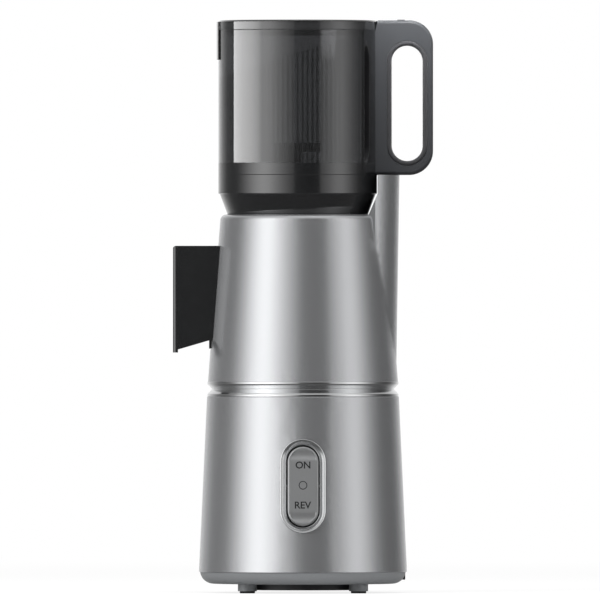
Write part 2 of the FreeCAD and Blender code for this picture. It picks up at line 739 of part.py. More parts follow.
def rotor_core():
    return tube(ROTOR_R, MOTOR_SHAFT_R, STATOR_Z, STATOR_Z + STATOR_LENGTH, MOTOR_AXIS)


def motor_shaft():
    return disc(MOTOR_SHAFT_R, MOTOR_BOTTOM - SHAFT_TAIL, WHEEL_Z + WHEEL_WIDTH, MOTOR_AXIS)


def cooling_fan():
    low = MOTOR_BOTTOM - SHAFT_TAIL
    shapes = [tube(FAN_HUB_R, MOTOR_SHAFT_R, low, low + FAN_HEIGHT + 1, MOTOR_AXIS),
              tube(FAN_R, FAN_HUB_R - 1, low + FAN_HEIGHT, low + FAN_HEIGHT + 1, MOTOR_AXIS)]
    for i in range(FAN_BLADES):
        blade = block(FAN_HUB_R - 1, FAN_R, -FAN_BLADE / 2, FAN_BLADE / 2, low, low + FAN_HEIGHT)
        blade.rotate(point(0, 0, 0), point(0, 0, 1), i * 360.0 / FAN_BLADES)
        blade.translate(point(MOTOR_AXIS[0], MOTOR_AXIS[1], 0))
        shapes.append(blade)
    return joined(shapes)


# Gearbox
def involute(angle):
    return math.tan(angle) - angle


def gear_blank(teeth, module, phase, bottom, top, centre):
    """A spur gear whose first tooth points along the phase angle."""
    pitch_r = teeth * module / 2
    circle_r = pitch_r * math.cos(PRESSURE_ANGLE)
    tip_r = pitch_r + ADDENDUM * module
    root_r = pitch_r - DEDENDUM * module
    half = (math.pi * module / 2 - BACKLASH) / 2 / pitch_r + involute(PRESSURE_ANGLE)
    start_r = max(circle_r, root_r)
    flank = []
    steps = 4
    for i in range(steps + 1):
        r = start_r + (tip_r - start_r) * i / steps
        flank.append((r, half - involute(math.acos(min(1.0, circle_r / r)))))
    if root_r < circle_r:
        flank.insert(0, (root_r, half))
    corners = []
    for i in range(teeth):
        middle = phase + i * 2 * math.pi / teeth
        corners += [(r, middle - a) for r, a in flank]
        corners += [(r, middle + a) for r, a in reversed(flank)]
    ring = [point(centre[0] + r * math.cos(a), centre[1] + r * math.sin(a), bottom) for r, a in corners]
    face = Part.Face(Part.makePolygon(ring + [ring[0]]))
    return face.extrude(point(0, 0, top - bottom))


def motor_pinion():
    top = WHEEL_Z + WHEEL_WIDTH
    gear = gear_blank(MOTOR_TEETH, FAST_MODULE, MOTOR_ANGLE + math.pi, WHEEL_Z, top, MOTOR_AXIS)
    return gear.cut(disc(MOTOR_SHAFT_R, WHEEL_Z - 1, top + 1, MOTOR_AXIS))


def idler_wheel():
    phase = MOTOR_ANGLE + math.pi / WHEEL_TEETH
    gear = gear_blank(WHEEL_TEETH, FAST_MODULE, phase, WHEEL_Z, WHEEL_Z + WHEEL_WIDTH, IDLER_AXIS)
    return gear.cut(disc(PINION_HUB_R, WHEEL_Z - 1, WHEEL_Z + WHEEL_WIDTH + 1, IDLER_AXIS))


def idler_pinion():
    top = OUTPUT_Z + OUTPUT_WIDTH
    hub = disc(PINION_HUB_R, WHEEL_Z, WHEEL_Z + WHEEL_WIDTH + 1, IDLER_AXIS)
    gear = gear_blank(PINION_TEETH, SLOW_MODULE, 0.0, WHEEL_Z + WHEEL_WIDTH, top, IDLER_AXIS)
    return joined([hub, gear]).cut(disc(IDLER_PIN_R + RUN_GAP, WHEEL_Z - 1, top + 1, IDLER_AXIS))


def idler_pin():
    return disc(IDLER_PIN_R, CASE_Z, CASE_TOP + CASE_COVER / 2, IDLER_AXIS)


def output_gear():
    phase = math.pi + math.pi / OUTPUT_TEETH
    gear = gear_blank(OUTPUT_TEETH, SLOW_MODULE, phase, OUTPUT_Z, OUTPUT_Z + OUTPUT_WIDTH, OUTPUT_AXIS)
    return gear.cut(disc(SHAFT_R, OUTPUT_Z - 1, OUTPUT_Z + OUTPUT_WIDTH + 1, OUTPUT_AXIS))


OUTPUT_TIP_R = SLOW_MODULE * (OUTPUT_TEETH / 2 + ADDENDUM)
WHEEL_TIP_R = FAST_MODULE * (WHEEL_TEETH / 2 + ADDENDUM)


def case_boss_places():
    """The four screw bosses around the case's outline."""
    places = []
    reach = OUTPUT_TIP_R + GEAR_AIR + CASE_WALL + CASE_BOSS_R / 2
    for turn in (50, -50):
        a = math.radians(turn)
        places.append((OUTPUT_AXIS[0] + reach * math.cos(a), OUTPUT_AXIS[1] + reach * math.sin(a)))
    reach = WHEEL_TIP_R + GEAR_AIR + CASE_WALL + CASE_BOSS_R / 2
    for turn in (120, -120):
        a = math.radians(turn)
        places.append((IDLER_AXIS[0] + reach * math.cos(a), IDLER_AXIS[1] + reach * math.sin(a)))
    return places


def case_outline(extra, bottom, top):
    """Both gears' circles with the straight stretch between them."""
    half = WHEEL_TIP_R + extra
    return joined([disc(OUTPUT_TIP_R + extra, bottom, top, OUTPUT_AXIS),
                   disc(half, bottom, top, IDLER_AXIS),
                   block(IDLER_AXIS[0], OUTPUT_AXIS[0], BOWL_Y - half, BOWL_Y + half, bottom, top)])


def gearbox_case():
    shapes = [case_outline(GEAR_AIR + CASE_WALL, CASE_Z, CASE_TOP)]
    shapes += [disc(CASE_BOSS_R, CASE_Z, CASE_TOP, place) for place in case_boss_places()]
    solid = joined(shapes).cut(case_outline(GEAR_AIR, CASE_Z + CASE_FLOOR, CASE_TOP + 1))
    solid = solid.cut(disc(OUTPUT_BEARING_R, CASE_Z - 1, CASE_TOP, OUTPUT_AXIS))
    solid = solid.cut(disc(MOTOR_SHAFT_R + 1, CASE_Z - 1, CASE_TOP, MOTOR_AXIS))
    solid = solid.cut(disc(IDLER_PIN_R, CASE_Z - 1, CASE_TOP, IDLER_AXIS))
    return solid.cut([disc(CASE_SCREW_R, CASE_Z - 1, CASE_TOP + 1, place) for place in case_boss_places()])


BEARING_TOP = CASE_TOP + STAGE_GAP + OUTPUT_BEARING


def gearbox_cover():
    shapes = [case_outline(GEAR_AIR + CASE_WALL, CASE_TOP, COVER_PLATE_TOP)]
    shapes += [disc(CASE_BOSS_R, CASE_TOP, COVER_PLATE_TOP, place) for place in case_boss_places()]
    shapes.append(disc(BEARING_BOSS_R, CASE_TOP, BEARING_TOP, OUTPUT_AXIS))
    solid = joined(shapes)
    solid = solid.cut(disc(OUTPUT_BEARING_R, BEARING_TOP - OUTPUT_BEARING, BEARING_TOP + 1, OUTPUT_AXIS))
    solid = solid.cut(disc(SHAFT_R + 1, CASE_TOP - 1, BEARING_TOP, OUTPUT_AXIS))
    solid = solid.cut(disc(IDLER_PIN_R, CASE_TOP - 1, CASE_TOP + CASE_COVER / 2, IDLER_AXIS))
    return solid.cut([disc(CASE_SCREW_R, CASE_TOP - 1, COVER_PLATE_TOP + 1, place)
                      for place in case_boss_places()])


def gearbox_screws():
    screws = []
    for place in case_boss_places():
        head = disc(CASE_SCREW_HEAD_R, COVER_PLATE_TOP, COVER_PLATE_TOP + CASE_SCREW_HEAD, place)
        shank = disc(CASE_SCREW_R, CHASSIS_Z, COVER_PLATE_TOP + 1, place)
        screws.append(head.fuse(shank))
    return Part.makeCompound(screws)


def output_bearings():
    bore = SHAFT_R + RUN_GAP
    low = tube(OUTPUT_BEARING_R, bore, CASE_Z, CASE_Z + CASE_FLOOR, OUTPUT_AXIS)
    high = tube(OUTPUT_BEARING_R, bore, BEARING_TOP - OUTPUT_BEARING, BEARING_TOP, OUTPUT_AXIS)
    return Part.makeCompound([low, high])


def hexagon(flats, bottom, top):
    r = flats / 2 / math.cos(math.radians(30))
    ring = [point(OUTPUT_AXIS[0] + r * math.cos(math.radians(60 * i)),
                  OUTPUT_AXIS[1] + r * math.sin(math.radians(60 * i)), bottom) for i in range(6)]
    return Part.Face(Part.makePolygon(ring + [ring[0]])).extrude(point(0, 0, top - bottom))


HEX_Z = BODY_BOTTOM + HEX_START
HEX_TOP = HEX_Z + HEX_LENGTH


def drive_shaft():
    round_part = disc(SHAFT_R, CASE_Z + SLIDE_GAP, HEX_Z, OUTPUT_AXIS)
    return joined([round_part, hexagon(HEX_FLATS, HEX_Z - 1, HEX_TOP)])


# Bowl, strainer, auger
def bowl():
    inner = BOWL_R - BOWL_WALL
    wall = turned([(0, BOWL_BOTTOM), (BOWL_R, BOWL_BOTTOM), (BOWL_R, BODY_TOP), (BOWL_NECK_R, BODY_TOP),
                   (BOWL_SHOULDER_R, RING_BOTTOM - 0.6), (HOPPER_R, RING_BOTTOM), (HOPPER_R, HOPPER_BOTTOM),
                   (inner, HOPPER_BOTTOM), (inner, BOWL_INSIDE), (0, BOWL_INSIDE)], OUTPUT_AXIS)
    solid = joined([wall, disc(BOWL_BOSS_R, BOWL_BOTTOM - BOWL_BOSS, BOWL_INSIDE, OUTPUT_AXIS)])
    solid = solid.cut(disc(BOWL_SEAL_R, BOWL_BOTTOM - BOWL_BOSS - 1, BOWL_INSIDE + 1, OUTPUT_AXIS))
    return solid.cut(bowl_ports(inner - 2))


def bowl_ports(depth):
    top = DUCT_Z + DUCT_HEIGHT
    front = block(-DUCT_HALF, DUCT_HALF, BOWL_Y - BOWL_R - 1, BOWL_Y - depth, DUCT_Z, top)
    side = block(-BOWL_R - 1, -depth, BOWL_Y - DUCT_HALF, BOWL_Y + DUCT_HALF, DUCT_Z, top)
    return [front, side]


def bowl_seal():
    return tube(BOWL_SEAL_R, BUSH_R + RUN_GAP, BOWL_BOTTOM - BOWL_BOSS + 2, BOWL_INSIDE, OUTPUT_AXIS)


def strainer():
    top = BOWL_INSIDE + STRAINER_HEIGHT
    inner = STRAINER_R - STRAINER_WALL
    wall = tube(STRAINER_R, inner, BOWL_INSIDE, top, OUTPUT_AXIS)
    floor = disc(inner, BOWL_INSIDE, BOWL_INSIDE + STRAINER_FLOOR, OUTPUT_AXIS)
    rim = tube(BOWL_R - BOWL_WALL - SEAT_GAP, inner, top - 2, top, OUTPUT_AXIS)
    solid = joined([wall, floor, rim]).cut(disc(BOWL_BOSS_R, BOWL_INSIDE - 1, top, OUTPUT_AXIS))
    cuts = [block(-STRAINER_R - 1, -inner + 10, BOWL_Y - DUCT_HALF, BOWL_Y + DUCT_HALF,
                  BOWL_INSIDE + STRAINER_FLOOR + 1, DUCT_Z + DUCT_HEIGHT)]
    low = DUCT_Z + DUCT_HEIGHT + STRAINER_BAND
    rows = 3
    tall = (top - 2 - low - rows * STRAINER_BAND) / rows
    for row in range(rows):
        z = low + row * (tall + STRAINER_BAND)
        for i in range(STRAINER_SLOTS):
            slot = block(inner - 3, STRAINER_R + 3, -STRAINER_SLOT / 2, STRAINER_SLOT / 2, z, z + tall)
            slot.rotate(point(0, 0, 0), point(0, 0, 1), (i + 0.5) * 360.0 / STRAINER_SLOTS)
            slot.translate(point(OUTPUT_AXIS[0], OUTPUT_AXIS[1], 0))
            cuts.append(slot)
    return solid.cut(cuts)


def auger_section(share):
    """One level of the screw: a round core with its flights, turned a little further than the last."""
    core = AUGER_FOOT_R + (AUGER_TOP_R - AUGER_FOOT_R) * share
    flight = FLIGHT_FOOT + (FLIGHT_TOP - FLIGHT_FOOT) * share
    z = AUGER_BOTTOM + (AUGER_TOP - AUGER_BOTTOM) * share
    corners = []
    count = 24
    for i in range(count):
        a = 2 * math.pi * i / count
        lobe = (0.5 + 0.5 * math.cos(FLIGHTS * (a - FLIGHT_TWIST * share))) ** 2
        r = core + flight * lobe
        corners.append(point(OUTPUT_AXIS[0] + r * math.cos(a), OUTPUT_AXIS[1] + r * math.sin(a), z))
    curve = Part.BSplineCurve()
    curve.interpolate(corners, PeriodicFlag=True)
    return Part.Wire([curve.toShape()])


def auger():
    sections = [auger_section(i / AUGER_SECTIONS) for i in range(AUGER_SECTIONS + 1)]
    screw = Part.makeLoft(sections, True, False)
    screw = screw.cut(disc(BUSH_R, AUGER_BOTTOM - 1, BOWL_INSIDE + BUSH_HEIGHT, OUTPUT_AXIS))
    return screw.cut(disc(KNIFE_STEM_R, AUGER_TOP - KNIFE_STEM, AUGER_TOP + 1, OUTPUT_AXIS))


def drive_bush():
    low = BOWL_BOTTOM - BOWL_BOSS + 2
    body = disc(BUSH_R, low, BOWL_INSIDE + BUSH_HEIGHT, OUTPUT_AXIS)
    return body.cut(hexagon(HEX_FLATS + 2 * SLIDE_GAP, low - 1, HEX_TOP + SLIDE_GAP))


def auger_knife():
    top = AUGER_TOP + KNIFE_HEIGHT
    half = KNIFE_THICK / 2
    wing = block(-half, half, BOWL_Y - KNIFE_FRONT, BOWL_Y + KNIFE_NOTCH, AUGER_TOP, top)
    arm = block(-half, half, BOWL_Y, BOWL_Y + KNIFE_BACK, top - KNIFE_ARM, top)
    stem = disc(KNIFE_STEM_R, AUGER_TOP - KNIFE_STEM, top - 1, OUTPUT_AXIS)
    return joined([wing, arm, stem])


# Outlets
def outlet(half, reach, top, lip, centre, bowl_centre):
    """A hood open at the bottom, with the duct that runs back to the bowl. It faces -Y."""
    step = -reach + HOOD_LIP_THICK
    rim = lip + HOOD_RIM
    corners = [(-reach, lip), (step, lip), (step, rim),
               (0, rim - step * HOOD_RIM_RISE), (0, top), (-reach, top)]
    ring = [point(centre - half, y, z) for y, z in corners]
    outer = Part.Face(Part.makePolygon(ring + [ring[0]])).extrude(point(2 * half, 0, 0))
    outer = outer.makeFillet(HOOD_EDGE_R, [e for e in outer.Edges if front_edge(e, reach)])
    room = block(centre - half + OUTLET_WALL, centre + half - OUTLET_WALL, -reach + OUTLET_WALL, 0,
                 lip - 1, top - OUTLET_WALL)
    room = room.cut(body_cone(SLIDE_GAP + OUTLET_WALL))
    shell = outer.cut(room)
    solid = joined([shell, duct(DUCT_WALL, centre, 1.0)])
    solid = solid.cut(body_cone(SLIDE_GAP).cut(duct(DUCT_WALL, centre, 0.0)))
    solid = solid.cut(duct(0.0, centre, 12.0))
    return solid.cut(disc(BOWL_R + SLIDE_GAP, BODY_BOTTOM, BODY_TOP, bowl_centre))


def front_edge(edge, reach):
    """True for the front face's upright edges and its top edge."""
    ends = [v.Point for v in edge.Vertexes]
    return len(ends) == 2 and all(abs(p.y + reach) < 0.01 for p in ends) and (
        abs(ends[0].z - ends[1].z) > 1 or ends[0].z > BODY_BOTTOM + BODY_HEIGHT / 3)


def duct(wall, centre, past):
    """The duct's outside with a wall, or its inside with none, ending past the body's skin."""
    half = DUCT_HALF + wall
    end = -body_r(DUCT_Z) - SLIDE_GAP - past
    return block(centre - half, centre + half, end, -DUCT_START, DUCT_Z - wall, DUCT_Z + DUCT_HEIGHT + wall)


def spout_hood():
    return outlet(HOOD_HALF, HOOD_REACH, HOOD_TOP, HOOD_LIP, 0.0, OUTPUT_AXIS)


def pulp_chute():
    shape = outlet(CHUTE_HALF, CHUTE_REACH, CHUTE_TOP, CHUTE_LIP, -BOWL_Y, (-BOWL_Y, 0.0))
    shape.rotate(point(0, 0, 0), point(0, 0, 1), -90)
    return shape


# Hopper
def hopper():
    inner = HOPPER_R - HOPPER_WALL
    floor = HOPPER_BOTTOM + HOPPER_FLOOR
    seal_top = HOPPER_BOTTOM - HOPPER_SEAL
    groove = SPIGOT_R - HOPPER_SEAL_DEPTH
    low = HOPPER_BOTTOM - SPIGOT
    shell = turned([(THROAT_R, low), (SPIGOT_R, low), (SPIGOT_R, seal_top - HOPPER_SEAL),
                    (groove, seal_top - HOPPER_SEAL), (groove, seal_top), (SPIGOT_R, seal_top),
                    (SPIGOT_R, HOPPER_BOTTOM), (HOPPER_R, HOPPER_BOTTOM), (HOPPER_R, LID_BOTTOM),
                    (inner, LID_BOTTOM), (inner, floor), (THROAT_R, floor)], OUTPUT_AXIS)
    face_y = BOWL_Y + HOPPER_R
    bites = [bar(SCREW_R, face_y - SCREW_BITE, face_y + 2, 0, z) for z in SCREW_HEIGHTS]
    return shell.cut(bites)


def hopper_seal():
    top = HOPPER_BOTTOM - HOPPER_SEAL
    outer = BOWL_R - BOWL_WALL - SLIDE_GAP
    return tube(outer, SPIGOT_R - HOPPER_SEAL_DEPTH, top - HOPPER_SEAL, top, OUTPUT_AXIS)


def loop_outline(front, back, low, high, x0, x1):
    """An upright loop with fully round ends, seen from the side."""
    shape = stadium_block(back - front, high - low, x0, x1)
    shape.translate(point(0, (front + back) / 2, (low + high) / 2))
    return shape


def lining_outline(x0, x1):
    grow = GRIP_LINING
    return loop_outline(GRIP_FRONT - grow, GRIP_BACK + grow, GRIP_BOTTOM - grow, GRIP_TOP + grow, x0, x1)


def handle():
    x = -HANDLE_HALF
    r = HANDLE_CORNER_R
    lean = r * (1 - math.cos(math.radians(45)))
    back = HANDLE_BACK
    low = HOPPER_BOTTOM
    high = LID_TOP
    edges = [Part.LineSegment(point(x, HANDLE_ROOT, low), point(x, back - r, low)).toShape(),
             Part.Arc(point(x, back - r, low), point(x, back - lean, low + lean),
                      point(x, back, low + r)).toShape(),
             Part.LineSegment(point(x, back, low + r), point(x, back, high - r)).toShape(),
             Part.Arc(point(x, back, high - r), point(x, back - lean, high - lean),
                      point(x, back - r, high)).toShape(),
             Part.LineSegment(point(x, back - r, high), point(x, HANDLE_ROOT, high)).toShape(),
             Part.LineSegment(point(x, HANDLE_ROOT, high), point(x, HANDLE_ROOT, low)).toShape()]
    solid = Part.Face(Part.Wire(edges)).extrude(point(2 * HANDLE_HALF, 0, 0))
    rear = [e for e in solid.Edges if loop_edge(e)]
    solid = solid.makeFillet(HANDLE_EDGE_R, rear)
    solid = solid.cut(disc(HOPPER_R, low - 1, LID_BOTTOM, OUTPUT_AXIS))
    solid = solid.cut(cone(HOPPER_R + SLIDE_GAP, HOPPER_R + LID_SWING_GAP, LID_BOTTOM, high, OUTPUT_AXIS))
    solid = solid.cut(lining_outline(-HANDLE_HALF - 1, HANDLE_HALF + 1))
    solid = solid.fuse(block(-TONGUE_HALF, TONGUE_HALF, TONGUE_Y - TONGUE_DEPTH, TONGUE_Y + TONGUE_DEPTH,
                             low - TONGUE_DROP, low + 1))
    for z in SCREW_HEIGHTS:
        seat = GRIP_FRONT - GRIP_LINING
        solid = solid.cut(bar(SCREW_R, HANDLE_ROOT, seat, 0, z))
        solid = solid.cut(bar(SCREW_HEAD_R, seat - SCREW_HEAD, seat + 1, 0, z))
    knuckle = KNUCKLE_HALF + NOTCH_AIR / 2
    solid = solid.cut(block(-knuckle, knuckle, HANDLE_ROOT, HINGE_Y + KNUCKLE_R + NOTCH_AIR,
                            HINGE_Z - KNUCKLE_R - NOTCH_AIR, high + 1))
    solid = solid.cut(cross_pin(HINGE_PIN_R + RUN_GAP, HINGE_PIN_HALF + SLIDE_GAP, HINGE_Y, HINGE_Z))
    return solid.cut(button_pocket())


def loop_edge(edge):
    """True for the long outer edges of the handle, on both its sides, that face the back."""
    box = edge.BoundBox
    return box.XMax - box.XMin < 0.01 and box.YMax > HANDLE_ROOT + 1


def button_pocket():
    stem_x = BUTTON_HALF_X + SLIDE_GAP
    stem_y = BUTTON_HALF_Y + SLIDE_GAP
    flange_x = stem_x + BUTTON_FLANGE
    flange_y = stem_y + BUTTON_FLANGE
    ceiling = LID_TOP - BUTTON_STEM
    floor = ceiling - SLIDE_GAP - BUTTON_FLANGE_HEIGHT - SPRING_LENGTH
    mouth = block(-stem_x, stem_x, BUTTON_Y - stem_y, BUTTON_Y + stem_y, ceiling - 1, LID_TOP + 1)
    room = block(-flange_x, flange_x, BUTTON_Y - flange_y, BUTTON_Y + flange_y, floor, ceiling)
    return mouth.fuse(room)


def lid_button():
    ceiling = LID_TOP - BUTTON_STEM - SLIDE_GAP
    wide_x = BUTTON_HALF_X + BUTTON_FLANGE
    wide_y = BUTTON_HALF_Y + BUTTON_FLANGE
    flange = block(-wide_x, wide_x, BUTTON_Y - wide_y, BUTTON_Y + wide_y,
                   ceiling - BUTTON_FLANGE_HEIGHT, ceiling)
    stem = block(-BUTTON_HALF_X, BUTTON_HALF_X, BUTTON_Y - BUTTON_HALF_Y, BUTTON_Y + BUTTON_HALF_Y,
                 ceiling - 1, LID_TOP + BUTTON_PROUD)
    return joined([flange, stem])


def button_spring():
    top = LID_TOP - BUTTON_STEM - SLIDE_GAP - BUTTON_FLANGE_HEIGHT
    return tube(SPRING_R, SPRING_R - SPRING_WALL, top - SPRING_LENGTH, top, (0.0, BUTTON_Y))


def handle_grip():
    wide = HANDLE_HALF + GRIP_PROUD
    hole = loop_outline(GRIP_FRONT, GRIP_BACK, GRIP_BOTTOM, GRIP_TOP, -wide - 1, wide + 1)
    return lining_outline(-wide, wide).cut(hole)


def handle_screws():
    screws = []
    for z in SCREW_HEIGHTS:
        seat = GRIP_FRONT - GRIP_LINING
        head = bar(SCREW_HEAD_R, seat - SCREW_HEAD, seat, 0, z)
        shank = bar(SCREW_R, BOWL_Y + HOPPER_R - SCREW_BITE, seat - SCREW_HEAD / 2, 0, z)
        screws.append(head.fuse(shank))
    return Part.makeCompound(screws)


# Lid
def lid():
    lip_r = HOPPER_R - HOPPER_WALL - LID_CLEAR
    edge = LID_EDGE_R
    plate = turned([(0, LID_BOTTOM), (HOPPER_R, LID_BOTTOM), (HOPPER_R, LID_TOP - edge),
                    (HOPPER_R - edge, LID_TOP), (0, LID_TOP)], OUTPUT_AXIS)
    lip = tube(lip_r, lip_r - LID_LIP_WALL, LID_BOTTOM - LID_LIP, LID_BOTTOM + 1, OUTPUT_AXIS)
    skirt = tube(HOPPER_R + SLIDE_GAP + TAB_THICK, HOPPER_R + SLIDE_GAP, LID_TOP - TAB_DROP - LID_HEIGHT,
                 LID_TOP - edge, OUTPUT_AXIS)
    bridge = tube(HOPPER_R + SLIDE_GAP + TAB_THICK, HOPPER_R - 1, LID_BOTTOM, LID_TOP - edge, OUTPUT_AXIS)
    front = block(-TAB_HALF, TAB_HALF, BOWL_Y - 2 * HOPPER_R, BOWL_Y, 0, LID_TOP)
    tongue = block(-KNUCKLE_HALF, KNUCKLE_HALF, BOWL_Y + HOPPER_R - 6, HINGE_Y, HINGE_Z - KNUCKLE_R + 0.4,
                   HINGE_Z + KNUCKLE_R - 0.4)
    knuckle = cross_pin(KNUCKLE_R, KNUCKLE_HALF, HINGE_Y, HINGE_Z)
    solid = joined([plate, lip, skirt.common(front), bridge.common(front), tongue, knuckle])
    return solid.cut(cross_pin(HINGE_PIN_R, KNUCKLE_HALF + 1, HINGE_Y, HINGE_Z))


def hinge_pin():
    return cross_pin(HINGE_PIN_R, HINGE_PIN_HALF, HINGE_Y, HINGE_Z)


# Interlock
GUIDE_Z = HOPPER_BOTTOM - CAP_THICK - GUIDE_LENGTH
PLUNGER_TOP = HOPPER_BOTTOM - TONGUE_DROP - SLIDE_GAP
PLUNGER_Z = PLUNGER_TOP - PLUNGER_LENGTH
SWITCH_TOP = PLUNGER_Z - PLUNGER_SPRING
BRACKET_BACK = TONGUE_Y + GUIDE_DEPTH


def column_cap():
    opening = column(SHELL_WALL).cut(before_column(SHELL_WALL, BODY_BOTTOM))
    plate = opening.common(disc(200, HOPPER_BOTTOM - CAP_THICK, HOPPER_BOTTOM))
    guide = block(-GUIDE_HALF, GUIDE_HALF, TONGUE_Y - GUIDE_DEPTH, BRACKET_BACK,
                  GUIDE_Z, HOPPER_BOTTOM - 1)
    bracket = block(-GUIDE_HALF, GUIDE_HALF, BRACKET_BACK - BRACKET_PLATE, BRACKET_BACK,
                    SWITCH_TOP - MICROSWITCH_HEIGHT, HOPPER_BOTTOM - 1)
    solid = joined([plate, guide, bracket])
    slot = block(-TONGUE_HALF - SLIDE_GAP, TONGUE_HALF + SLIDE_GAP, TONGUE_Y - TONGUE_DEPTH - SLIDE_GAP,
                 TONGUE_Y + TONGUE_DEPTH + SLIDE_GAP, PLUNGER_TOP, HOPPER_BOTTOM + 1)
    bore = disc(PLUNGER_R + RUN_GAP, GUIDE_Z - 1, HOPPER_BOTTOM, (0.0, TONGUE_Y))
    return solid.cut(slot).cut(bore)


def interlock_plunger():
    return disc(PLUNGER_R, PLUNGER_Z, PLUNGER_TOP, (0.0, TONGUE_Y))


def plunger_spring():
    return tube(PLUNGER_R, PLUNGER_R - SPRING_WALL, SWITCH_TOP, PLUNGER_Z, (0.0, TONGUE_Y))


def microswitch():
    return block(-MICROSWITCH_HALF, MICROSWITCH_HALF, TONGUE_Y - GUIDE_DEPTH, BRACKET_BACK - BRACKET_PLATE,
                 SWITCH_TOP - MICROSWITCH_HEIGHT, SWITCH_TOP)


# Switch
def switch_bezel():
    gap_w = ROCKER_WIDTH + 2 * SWITCH_GAP
    gap_h = ROCKER_HEIGHT + 2 * ROCKER_END_GAP
    solid = stadium_block(BEZEL_WIDTH, BEZEL_HEIGHT, -BEZEL_BACK, BEZEL_PROUD)
    solid = solid.cut(stadium_funnel(gap_w, gap_h, -BEZEL_DISH, BEZEL_WIDTH - 2 * BEZEL_LIP,
                                     BEZEL_HEIGHT - 2 * BEZEL_LIP, BEZEL_PROUD))
    solid = solid.cut(stadium_block(gap_w, gap_h, -BEZEL_BACK - 1, BEZEL_PROUD + 1))
    return on_switch(solid).cut(base_housing())


def switch_housing():
    solid = stadium_block(SWITCH_BODY_W, SWITCH_BODY_H, -SWITCH_BODY_DEPTH, -BEZEL_BACK)
    solid = solid.cut(stadium_block(ROCKER_WIDTH + 2 * SWITCH_GAP, ROCKER_HEIGHT + 2 * ROCKER_END_GAP,
                                    -SWITCH_CAVITY, 0))
    solid = solid.cut(bar(ROCKER_PIN_R, -SWITCH_BODY_W / 2 - 1, SWITCH_BODY_W / 2 + 1, -ROCKER_PIVOT, 0))
    return on_switch(solid)


def rocker_pin():
    return on_switch(bar(ROCKER_PIN_R, -SWITCH_BODY_W / 2, SWITCH_BODY_W / 2, -ROCKER_PIVOT, 0))


def rocker():
    solid = stadium_block(ROCKER_WIDTH, ROCKER_HEIGHT, -ROCKER_DEPTH, ROCKER_PROUD)
    solid = solid.cut(bar(ROCKER_PIN_R + RUN_GAP, -ROCKER_WIDTH, ROCKER_WIDTH, -ROCKER_PIVOT, 0))
    return on_switch(solid)


# Board and gland
def cord_gland():
    return gland_shape().cut(bar(GLAND_BORE_R, 0, GLAND_END + 1, 0, GLAND_Z))


def control_board():
    board = block(-BOARD_HALF + 1, BOARD_HALF - 1, BOARD_Y - BOARD_THICK / 2, BOARD_Y + BOARD_THICK / 2,
                  FLOOR_Z, FLOOR_Z + BOARD_HEIGHT)
    face = BOARD_Y + BOARD_THICK / 2
    middle = FLOOR_Z + BOARD_HEIGHT / 2
    coil = block(-BOARD_HALF / 2, 0, face - 0.5, face + BOARD_PART, middle, middle + BOARD_PART * 1.5)
    cell = bar(BOARD_PART / 2, face - 0.5, face + BOARD_PART * 1.5, BOARD_HALF / 2, middle)
    return joined([board, coil, cell])


def main():
    os.makedirs("parts", exist_ok=True)
    pieces = {
        "bottom_cover": bottom_cover(),
        "vent_grille": vent_grille(),
        "foot_pads": foot_pads(),
        "case_bolts": case_bolts(),
        "deck_standoffs": deck_standoffs(),
        "deck_screws": deck_screws(),
        "base_housing": base_housing(),
        "trim_ring": trim_ring(),
        "body_housing": body_housing(),
        "chamber_well": chamber_well(),
        "deck": deck(),
        "shaft_seal": shaft_seal(),
        "chassis_plate": chassis_plate(),
        "motor_can": motor_can(),
        "motor_bell_lower": motor_bell(MOTOR_BOTTOM),
        "motor_bell_upper": motor_bell(CHASSIS_Z - BELL),
        "motor_bearings": motor_bearings(),
        "stator_core": stator_core(),
        "stator_windings": stator_windings(),
        "rotor_core": rotor_core(),
        "motor_shaft": motor_shaft(),
        "cooling_fan": cooling_fan(),
        "motor_pinion": motor_pinion(),
        "gearbox_case": gearbox_case(),
        "gearbox_cover": gearbox_cover(),
        "gearbox_screws": gearbox_screws(),
        "idler_wheel": idler_wheel(),
        "idler_pinion": idler_pinion(),
        "idler_pin": idler_pin(),
        "output_gear": output_gear(),
        "output_bearings": output_bearings(),
        "drive_shaft": drive_shaft(),
        "bowl": bowl(),
        "bowl_seal": bowl_seal(),
        "strainer": strainer(),
        "auger": auger(),
        "drive_bush": drive_bush(),
        "auger_knife": auger_knife(),
        "spout_hood": spout_hood(),
        "pulp_chute": pulp_chute(),
        "hopper": hopper(),
        "hopper_seal": hopper_seal(),
        "handle": handle(),
        "handle_grip": handle_grip(),
        "handle_screws": handle_screws(),
        "lid": lid(),
        "hinge_pin": hinge_pin(),
        "lid_button": lid_button(),
        "button_spring": button_spring(),
        "column_cap": column_cap(),
        "interlock_plunger": interlock_plunger(),
        "plunger_spring": plunger_spring(),
        "microswitch": microswitch(),
        "switch_bezel": switch_bezel(),
        "switch_housing": switch_housing(),
        "rocker_pin": rocker_pin(),
        "rocker": rocker(),
        "cord_gland": cord_gland(),
        "control_board": control_board(),
    }
    for name, shape in pieces.items():
        save(name, shape)


main()
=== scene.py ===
"""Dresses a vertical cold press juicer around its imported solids, in metres."""

